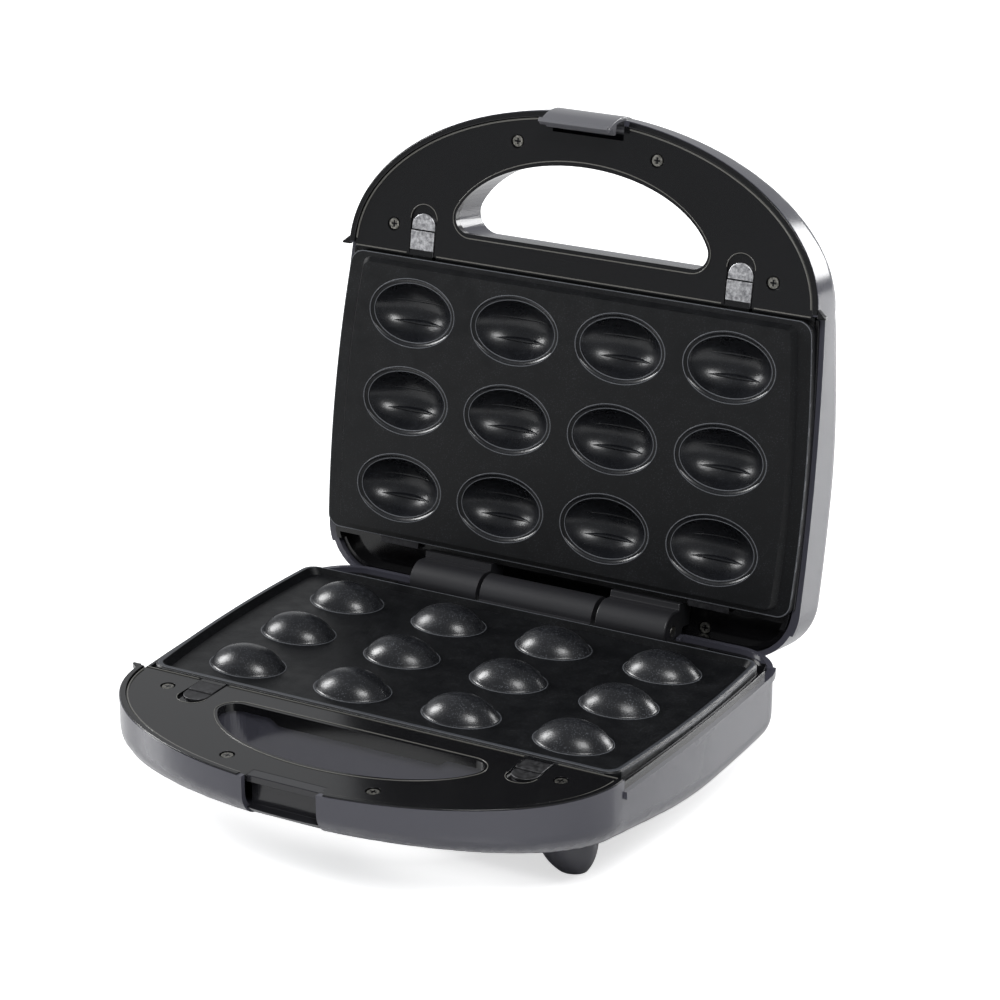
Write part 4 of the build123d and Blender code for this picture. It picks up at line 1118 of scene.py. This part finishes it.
@dataclass(frozen=True)
class Bowl:
    """A cap of a spheroid: half a nut, raised or sunk."""

    half_length: float
    half_width: float
    height: float

    def halves(self) -> Pair:
        """Half its length and half its width."""
        return self.half_length, self.half_width

    def rise(self, share: float) -> float:
        """Give the height over the rim's plane.

        Args:
            share: How far out to the rim, from 0 to 1.

        Returns:
            The height there.
        """
        radius = (self.half_width ** 2 + self.height ** 2) / (2 * self.height)
        sink = radius - self.height
        spread = 1 - (sink / radius) ** 2
        return radius * math.sqrt(max(1 - spread * share * share, 0)) - sink

    def rise_at(self, x: float, y: float) -> float:
        """The height at a place from the middle."""
        return self.rise(math.hypot(x / self.half_length, y / self.half_width))


def oval(x: float, y: float, half_length: float, half_width: float) -> Path:
    """Give the path of an oval round a mould.

    Args:
        x: Its middle along X.
        y: Its middle along Y.
        half_length: Half its length, along X.
        half_width: Half its width, along Y.

    Returns:
        A path that bead() can follow.
    """
    def path(u: float, grow: float) -> Vector:
        """A point on the oval."""
        turn = math.tau * u
        return Vector((x + (half_length + grow) * math.cos(turn), y + (half_width + grow) * math.sin(turn), 0))

    return path


@dataclass(frozen=True)
class NutGrid:
    """The layout of the nut moulds, in millimetres."""

    columns: int = 4
    rows: int = 3
    pitch_x: float = 53.0
    pitch_y: float = 40.72

    def spots(self) -> list[Pair]:
        """The middles of the moulds."""
        return [((c - (self.columns - 1) / 2) * self.pitch_x, (r - (self.rows - 1) / 2) * self.pitch_y)
                for c in range(self.columns) for r in range(self.rows)]

    def nearest(self, spot: Vector) -> Pair:
        """The middle of the mould nearest to a place."""
        return min(self.spots(), key=lambda middle: math.hypot(spot.x - middle[0], spot.y - middle[1]))

    def bowls(self, profile: Section, steps: int, bowl: Bowl, level: float) -> BMesh:
        """Turn one mould and set a copy of it in every place.

        Args:
            profile: Its section, with the radius as a share of the way out to the rim.
            steps: How many steps make the full turn.
            bowl: The bowl that gives its length and width.
            level: The height of the rim's plane.

        Returns:
            The mesh of all the moulds.
        """
        unit = turn_profile(profile, steps)
        bm = bmesh.new()
        for x, y in self.spots():
            before = len(bm.verts)
            bm.from_mesh(unit)
            bm.verts.ensure_lookup_table()
            place = Matrix.Translation((x, y, level))
            spread = Matrix.Diagonal((*bowl.halves(), 1, 1))
            bmesh.ops.transform(bm, matrix=place @ spread, verts=bm.verts[before:])
        return bm

    def rings(self, bm: BMesh, halves: Pair, section: Section, steps: int) -> None:
        """Lay an oval ring round every mould.

        Args:
            bm: The mesh to add to.
            halves: Half the oval's length and half its width.
            section: The ring's section.
            steps: How many steps go round.
        """
        for x, y in self.spots():
            bead(bm, oval(x, y, *halves), section, steps)


GRID = NutGrid()


@dataclass(frozen=True)
class LowerPlate:
    """The tray with its raised half nuts, each with a small fillet where it meets the tray."""

    node: str = "lower_plate"
    floor: float = -3.4
    rim_top: float = -0.3
    nut: Bowl = Bowl(17.15, 12.55, 9.05)
    shares: tuple[float, ...] = (0.0, 0.12, 0.25, 0.38, 0.5, 0.61, 0.71, 0.8, 0.87, 0.925)
    root_share: float = 0.968
    root_corner: Pair = (0.996, 0.12)
    root_end: Pair = (1.055, 0.03)
    nut_ring: Bar = Bar(0.35, 0.75, 0.22, -0.2, 0.15)
    edge_highlight_line: Bar = Bar(0.55, 0.95, 0.06, -0.3, 0.1)
    wall: Bar = Bar(-0.08, 0.3, -0.55, -3.3, 0.05)
    rim: Bar = Bar(1.0, 2.35, 0.05, -0.4, 0.15)
    turn_steps: int = 56
    ring_steps: int = 64

    def build(self, shop: Workshop) -> None:
        """Build the tray, the twelve domes, the tray's rim, and pale lines round the domes' feet and along the
        tray's edge, whose colour is partly a thinner coat and partly painted highlight.

        Args:
            shop: The workshop that finishes the pieces.
        """
        shop.softened(self.node, "plate", "base", bevel_mm=0.45)
        profile = [(share, self.nut.rise(share)) for share in self.shares]
        profile += bezier((self.root_share, self.nut.rise(self.root_share)), self.root_corner, self.root_end, 6)
        domes = GRID.bowls(profile, self.turn_steps, self.nut, self.floor)
        shop.piece("lower_nut_domes", domes, Half.BASE, "dome", smooth_deg=60)
        # Pale rings at the domes' feet and a pale line along the tray's edge: partly a thinner coat, partly
        # painted highlight.
        bm = bmesh.new()
        GRID.rings(bm, self.nut.halves(), self.nut_ring.section(self.floor), self.ring_steps)
        bead(bm, LOWER_PLAN.path, self.edge_highlight_line.section(self.rim_top), LOWER_PLAN.steps)
        shop.piece("lower_plate_edge_lines", bm, Half.BASE, "thin")
        for name, plan, bar, finish in (("lower_plate_rim_wall", LOWER_PLAN, self.wall, "casting"),
                                        ("lower_plate_rim_top", LOWER_RIM, self.rim, "rim")):
            bm = bmesh.new()
            bead(bm, plan.path, bar.section(self.rim_top), plan.steps)
            shop.piece(name, bm, Half.BASE, finish)


@dataclass(frozen=True)
class Crease:
    """A lens-shaped ridge on a bowl's wall, in millimetres from the bowl's middle."""

    shift: float
    width: float
    height: float
    half: float = 13.0
    skirt: float = 0.06

    def build(self, bm: BMesh, spot: Pair, face: float, bowl: Bowl) -> None:
        """Raise the ridge.

        Args:
            bm: The mesh to add to.
            spot: The bowl's middle.
            face: The height of the bowl's rim.
            bowl: The bowl.
        """
        def place(u: float, v: float) -> Vector:
            """Find a point of the ridge.

            Args:
                u: The share of the way along.
                v: The share of the way across.

            Returns:
                The point.
            """
            x = self.half * (2 * u - 1)
            fade = max(1 - (x / self.half) ** 2, 0.0)
            across = 2 * v - 1
            y = self.shift + across * self.width * fade
            lift = self.height * math.sqrt(fade) * (1 - across ** 2) - self.skirt * (across ** 2 > 0.9)
            return Vector((spot[0] + x, spot[1] + y, face - bowl.rise_at(x, y) + lift))

        map_grid(bm, 28, 8, place)


@dataclass(frozen=True)
class UpperPlate:
    """The plateau with its sunk half nuts: a sloped land round each and a crease in each."""

    node: str = "upper_plate"
    face: float = 2.6
    flange: float = -0.5
    bowl: Bowl = Bowl(20.22, 13.62, 10.93)
    land: Pair = (22.0, 15.6)
    land_curve: tuple[Pair, ...] = ((1.12, 0.03), (1.1, 0.03), (1.088, -0.1))
    mouth_curve: tuple[Pair, ...] = ((1.03, -0.72), (1.0, -0.98), (0.978, -1.3))
    shares: tuple[float, ...] = (0.95, 0.9, 0.83, 0.74, 0.64, 0.52, 0.39, 0.26, 0.13, 0.0)
    creases: tuple[Crease, ...] = (Crease(5.4, 1.15, 1.0), Crease(-4.2, 0.7, 0.22))
    land_ring: Bar = Bar(-0.1, 0.3, 0.1, -0.5, 0.1)
    mouth_ring: Bar = Bar(-0.25, 0.2, -0.78, -1.6, 0.15)
    flange_line: Bar = Bar(0.02, 0.45, 0.08, -0.6, 0.1)
    sunk_share: float = 0.93
    sunk_by: float = 0.35
    underside: float = -10.0
    turn_steps: int = 64
    ring_steps: int = 72

    def build(self, shop: Workshop) -> None:
        """Build the plateau, the twelve linings, their creases, and pale lines along the edges, whose colour is
        partly a thinner coat and partly painted highlight.

        Args:
            shop: The workshop that finishes the pieces.
        """
        shop.softened(self.node, "plate", "lid", bevel_mm=0.4, reshape=self.sink_bowls)
        profile = bezier(*self.land_curve, 4) + bezier(*self.mouth_curve, 4)
        profile += [(share, -self.bowl.rise(share)) for share in self.shares]
        linings = GRID.bowls(profile, self.turn_steps, self.bowl, self.face)
        shop.piece("upper_nut_linings", linings, Half.LID, "lining", smooth_deg=60)
        bm = bmesh.new()
        for spot in GRID.spots():
            for crease in self.creases:
                crease.build(bm, spot, self.face, self.bowl)
        shop.piece("upper_nut_creases", bm, Half.LID, "lining", smooth_deg=70)
        # Pale rings round the lands and bowl mouths and a pale line along the flange: partly a thinner coat,
        # partly painted highlight.
        bm = bmesh.new()
        GRID.rings(bm, self.land, self.land_ring.section(self.face), self.ring_steps)
        GRID.rings(bm, self.bowl.halves(), self.mouth_ring.section(self.face), self.ring_steps)
        bead(bm, UPPER_PLAN.path, self.flange_line.section(self.flange), UPPER_PLAN.steps)
        shop.piece("upper_plate_edge_lines", bm, Half.LID, "thin")

    def sink_bowls(self, bm: BMesh) -> None:
        """Smooth the bowls of the plate's copy and sink them a little, behind their linings.

        Args:
            bm: The copy, in metres and in place.
        """
        place = Half.LID.scaled_place()
        back = place.inverted()
        for vert in bm.verts:
            spot = back @ vert.co
            x, y = GRID.nearest(spot)
            share = math.hypot((spot.x - x) / self.bowl.half_length, (spot.y - y) / self.bowl.half_width)
            if share < self.sunk_share and self.underside < spot.z < self.face:
                spot.z = self.face - self.bowl.rise(share) - self.sunk_by
                vert.co = place @ spot


@dataclass(frozen=True)
class Screws:
    """Crosshead screws whose dull heads sit sunk in their wells, slimmer than these."""

    node: str
    half: Half
    spots: tuple[Pair, ...] = ((94.5, -79.5), (34.5, -124.5), (-94.5, -79.5), (-34.5, -124.5),
                                              (72.5, 80.5), (-72.5, 80.5))
    shrink: float = 0.78
    head_reach: float = 4.0
    cross: Pair = (1.9, 0.55)
    cross_depth: float = 1.0
    cross_proud: float = 0.03

    def build(self, shop: Workshop) -> None:
        """Build the screws of one frame and the black crosses on their heads that paint the shade in their
        recesses.

        Args:
            shop: The workshop that finishes the pieces.
        """
        bm = shop.merged(self.node, shop.merge_mm)
        bmesh.ops.transform(bm, matrix=Matrix.Scale(1 / MM, 4) @ self.half.place().inverted(), verts=bm.verts[:])
        tops = dict.fromkeys(self.spots, -math.inf)
        for vert in bm.verts:
            x, y = min(self.spots, key=lambda spot: math.hypot(vert.co.x - spot[0], vert.co.y - spot[1]))
            vert.co.x = x + (vert.co.x - x) * self.shrink
            vert.co.y = y + (vert.co.y - y) * self.shrink
            if math.hypot(vert.co.x - x, vert.co.y - y) < self.head_reach:
                tops[x, y] = max(tops[x, y], vert.co.z)
        shop.piece(f"{self.half.value}_cover_screw_heads", bm, self.half, "screw", replaces=(self.node,),
                   bevel_mm=0.18)
        # Black crosses a little proud of each head: painted shade in the crosshead recesses.
        bm = bmesh.new()
        long, wide = self.cross[0] * self.shrink, self.cross[1] * self.shrink
        for (x, y), top in tops.items():
            for dx, dy in ((long, wide), (wide, long)):
                box(bm, (x - dx, y - dy, top - self.cross_depth), (x + dx, y + dy, top + self.cross_proud))
        shop.piece(f"{self.half.value}_cover_screw_painted_shade_crosses", bm, self.half, "cover")


@dataclass(frozen=True)
class Latch:
    """The clasp on the lid's handle, and the keeper in the base that it hooks into."""

    def build(self, shop: Workshop) -> None:
        """Build the clasp, its pin and the keeper.

        Args:
            shop: The workshop that finishes the pieces.
        """
        shop.softened("clasp", "clasp", "clasp", bevel_mm=0.3, smooth_deg=40)
        shop.softened("clasp_pin", "screw", "lid", bevel_mm=0.2)
        shop.softened("clasp_keeper", "keeper", "base", bevel_mm=0.35)


@dataclass(frozen=True)
class ReleaseTabs:
    """The four steel tabs that let the plates out, with their springs and rear hooks."""

    nodes: tuple[str, ...] = ("lower_left_release", "lower_right_release", "upper_left_release",
                              "upper_right_release")
    tab_x: float = 79.0
    half_width: float = 5.95
    shadow_bottom: float = -2.4
    bend_shadow: Triple = (-78.7, -77.98, -1.4)
    end_shadow: Triple = (-69.4, -66.85, -0.93)
    spring_stop_y: float = -89.95
    spring_keep: float = 0.6

    def build(self, shop: Workshop) -> None:
        """Build the tabs, their springs and the hooks.

        Args:
            shop: The workshop that finishes the pieces.
        """
        for node in self.nodes:
            # The base's tabs take the darker copy of the same steel: painted shade.
            finish = "tab" if Half.of(node) is Half.LID else "dark_tab"
            shop.softened(node, finish, node, bevel_mm=0.25)
            self.shadow_lines(shop, node)
            self.spring(shop, node)
        shop.softened("lower_plate_hooks", "hook", "base", bevel_mm=0.2)
        shop.softened("upper_plate_hooks", "hook", "lid", bevel_mm=0.2)

    def shadow_lines(self, shop: Workshop, node: str) -> None:
        """Add black strips to one tab that paint the shadow in its bend and at its end beside the plate.

        Args:
            shop: The workshop that finishes the pieces.
            node: The tab's node, which is also its body.
        """
        x = self.tab_x if "right" in node else -self.tab_x
        bm = bmesh.new()
        # Black boxes of the frame's plastic, standing in for shade: painted shadow.
        for start_y, end_y, top in (self.bend_shadow, self.end_shadow):
            box(bm, (x - self.half_width, start_y, self.shadow_bottom), (x + self.half_width, end_y, top))
        shop.piece(node + "_shadow_lines", bm, Half.of(node), "cover", body=node)

    def spring(self, shop: Workshop, node: str) -> None:
        """Stand in for one tab's spring with a merged copy of its coil.

        Args:
            shop: The workshop that finishes the pieces.
            node: The tab's node.
        """
        place = Half.of(node).place()
        spring = node.replace("release", "spring")
        bm = shop.merged(spring, 0.002)
        bmesh.ops.recalc_face_normals(bm, faces=bm.faces[:])
        name = spring + "_coil"
        coil = shop.finish(name, as_mesh(bm, name), "spring", Half.of(node).value, 0.0, 50)
        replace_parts(coil, spring)
        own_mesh(coil)


@dataclass(frozen=True)
class Hinge:
    """The base's middle knuckle between the lid's two, on one pin, with low walls at the outer ends."""

    nodes: tuple[tuple[str, str], ...] = (("base_hinge_knuckle", "base"), ("lid_left_hinge_knuckle", "lid"),
                                          ("lid_right_hinge_knuckle", "lid"))
    wall_low: Triple = (65.25, 82.7, -14.2)
    wall_high: Triple = (67.6, 87.6, -6.3)

    def build(self, shop: Workshop) -> None:
        """Build the knuckles, the pin and the walls.

        Args:
            shop: The workshop that finishes the pieces.
        """
        for node, body in self.nodes:
            shop.softened(node, "satin", body, bevel_mm=0.8)
        shop.softened("hinge_pin", "screw", "base", bevel_mm=0.3)
        bm = bmesh.new()
        for sign in (1, -1):
            for vert in box(bm, self.wall_low, self.wall_high):
                vert.co.x *= sign
        shop.piece("base_hinge_side_walls", bm, Half.BASE, "shell", bevel_mm=0.2)


@dataclass(frozen=True)
class Feet:
    """The four moulded feet, wide against the housing and narrow on the table."""

    nodes: tuple[str, ...] = ("front_left_foot", "front_right_foot", "rear_left_foot", "rear_right_foot")

    def build(self, shop: Workshop) -> None:
        """Build the feet.

        Args:
            shop: The workshop that finishes the pieces.
        """
        for node in self.nodes:
            shop.softened(node, "foot", "base", bevel_mm=0.6, smooth_deg=40)


# The studio

@dataclass(frozen=True)
class SoftBox:
    """One lamp with a wide even face: its sizes in metres and its power in watts."""

    name: str
    place: Triple
    size: Pair
    power: float
    target: Triple = (0, 0, 0.1)

    def hang(self) -> None:
        """Hang the lamp, facing its target."""
        data = bpy.data.lights.new(self.name, "AREA")
        data.shape = "RECTANGLE"
        data.size, data.size_y = self.size
        data.energy = self.power
        lamp = bpy.data.objects.new(self.name, data)
        lamp.location = Vector(self.place)
        lamp.rotation_mode = "QUATERNION"
        lamp.rotation_quaternion = (Vector(self.target) - Vector(self.place)).to_track_quat("-Z", "Y")
        bpy.context.scene.collection.objects.link(lamp)


@dataclass(frozen=True)
class Studio:
    """The camera, the floor and the lamps."""

    lens_mm: float = 117.8
    sensor_mm: float = 36.0
    clip_m: Pair = (0.05, 20.0)
    camera_mm: Triple = (646.098, -1118.137, 613.976)
    yaw: float = 0.508
    pitch: float = 0.361
    roll: float = 0.002
    paper: tuple[float, float, float, float] = (0.88, 0.88, 0.88, 1)
    floor_radius_m: float = 6.0
    floor_lift: float = 0.62
    sky_colour: tuple[float, float, float, float] = (0.9, 0.92, 0.95, 1)
    sky: float = 0.36
    boxes: tuple[SoftBox, ...] = (
        SoftBox("left_box", (-1.6, -0.2, 0.88), (0.55, 0.75), 31),
        SoftBox("front_box", (0.64, -0.95, 1.42), (0.6, 0.6), 20),
        SoftBox("rear_box", (0.95, 1.4, 0.78), (0.6, 0.6), 14),
        SoftBox("rear_strip", (0.62, 1.62, 0.42), (0.6, 0.5), 8),
        SoftBox("back_card", (-0.8, 2.35, 0.86), (2.8, 1.7), 4, (0, 0, 0.5)),
    )

    def aim(self) -> None:
        """Set the camera where the photograph was taken from."""
        sin_a, cos_a = math.sin(self.yaw), math.cos(self.yaw)
        back = Vector((sin_a * math.cos(self.pitch), -cos_a * math.cos(self.pitch), math.sin(self.pitch)))
        right = Vector((cos_a, sin_a, 0))
        up = back.cross(right)
        turned_right = right * math.cos(self.roll) + up * math.sin(self.roll)
        turned_up = up * math.cos(self.roll) - right * math.sin(self.roll)
        data = bpy.data.cameras.new("camera")
        data.lens = self.lens_mm
        data.sensor_width = self.sensor_mm
        data.clip_start, data.clip_end = self.clip_m
        camera = bpy.data.objects.new("camera", data)
        turn = Matrix((turned_right, turned_up, back)).transposed().to_4x4()
        camera.matrix_world = Matrix.Translation(Vector(self.camera_mm) * MM) @ turn
        bpy.context.scene.collection.objects.link(camera)
        bpy.context.scene.camera = camera

    def floor(self) -> None:
        """Lay the pale paper floor that catches the shadow, lifted towards white for the camera alone."""
        bm = bmesh.new()
        bmesh.ops.create_circle(bm, cap_ends=True, segments=64, radius=self.floor_radius_m)
        floor = bpy.data.objects.new("floor", as_mesh(bm, "floor"))
        bpy.context.scene.collection.objects.link(floor)
        material, tree = new_material("studio_paper")
        paper = add_node(tree, "ShaderNodeBsdfPrincipled", inputs={"Base Color": self.paper, "Roughness": 0.35})
        path = add_node(tree, "ShaderNodeLightPath")
        lift = add_node(tree, "ShaderNodeMath", {"operation": "MULTIPLY"}, {1: self.floor_lift},
                        {0: path.outputs["Is Camera Ray"]})
        glow = add_node(tree, "ShaderNodeEmission", links={"Strength": lift.outputs["Value"]})
        both = add_node(tree, "ShaderNodeAddShader", links={0: paper.outputs["BSDF"], 1: glow.outputs["Emission"]})
        add_node(tree, "ShaderNodeOutputMaterial", links={"Surface": both.outputs["Shader"]})
        floor.data.materials.append(material)

    def world(self) -> None:
        """Surround the object with a soft sky that the camera sees as white."""
        world = bpy.data.worlds.new("studio")
        world.use_nodes = True
        tree = world.node_tree
        tree.nodes.clear()
        path = add_node(tree, "ShaderNodeLightPath")
        seen = add_node(tree, "ShaderNodeMath", {"operation": "MAXIMUM"},
                        links={0: path.outputs["Is Camera Ray"], 1: path.outputs["Is Transmission Ray"]})
        soft = add_node(tree, "ShaderNodeBackground", inputs={"Color": self.sky_colour, "Strength": self.sky})
        white = add_node(tree, "ShaderNodeBackground", inputs={"Color": (1, 1, 1, 1), "Strength": 1.0})
        mix = add_node(tree, "ShaderNodeMixShader",
                       links={0: seen.outputs["Value"], 1: soft.outputs[0], 2: white.outputs[0]})
        add_node(tree, "ShaderNodeOutputWorld", links={"Surface": mix.outputs["Shader"]})
        bpy.context.scene.world = world

    def build(self) -> None:
        """Set up everything around the object."""
        self.aim()
        self.floor()
        for soft_box in self.boxes:
            soft_box.hang()
        self.world()
        bpy.context.scene.view_settings.view_transform = "Standard"


def main() -> None:
    """Build the looks."""
    logging.basicConfig(level=logging.INFO, format="%(message)s")
    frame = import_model()
    finishes = Finishes()
    finishes.dress(frame["nodes"])
    shop = Workshop(frame, finishes)
    for part in (Housing(Half.BASE, "base_shell", -2.9, (-1,)), Housing(Half.LID, "lid_shell", -4.5, (1, -1)),
                 CoverFrame(Half.BASE, "base_cover_frame"), CoverFrame(Half.LID, "lid_cover_frame"),
                 LowerPlate(), UpperPlate(), Screws("base_cover_screws", Half.BASE),
                 Screws("lid_cover_screws", Half.LID), Latch(), ReleaseTabs(), Hinge(), Feet()):
        part.build(shop)
    LOG.info("%d pieces made", len(shop.made))
    Studio().build()
    bpy.context.view_layer.update()


if __name__ == "__main__":
    main()
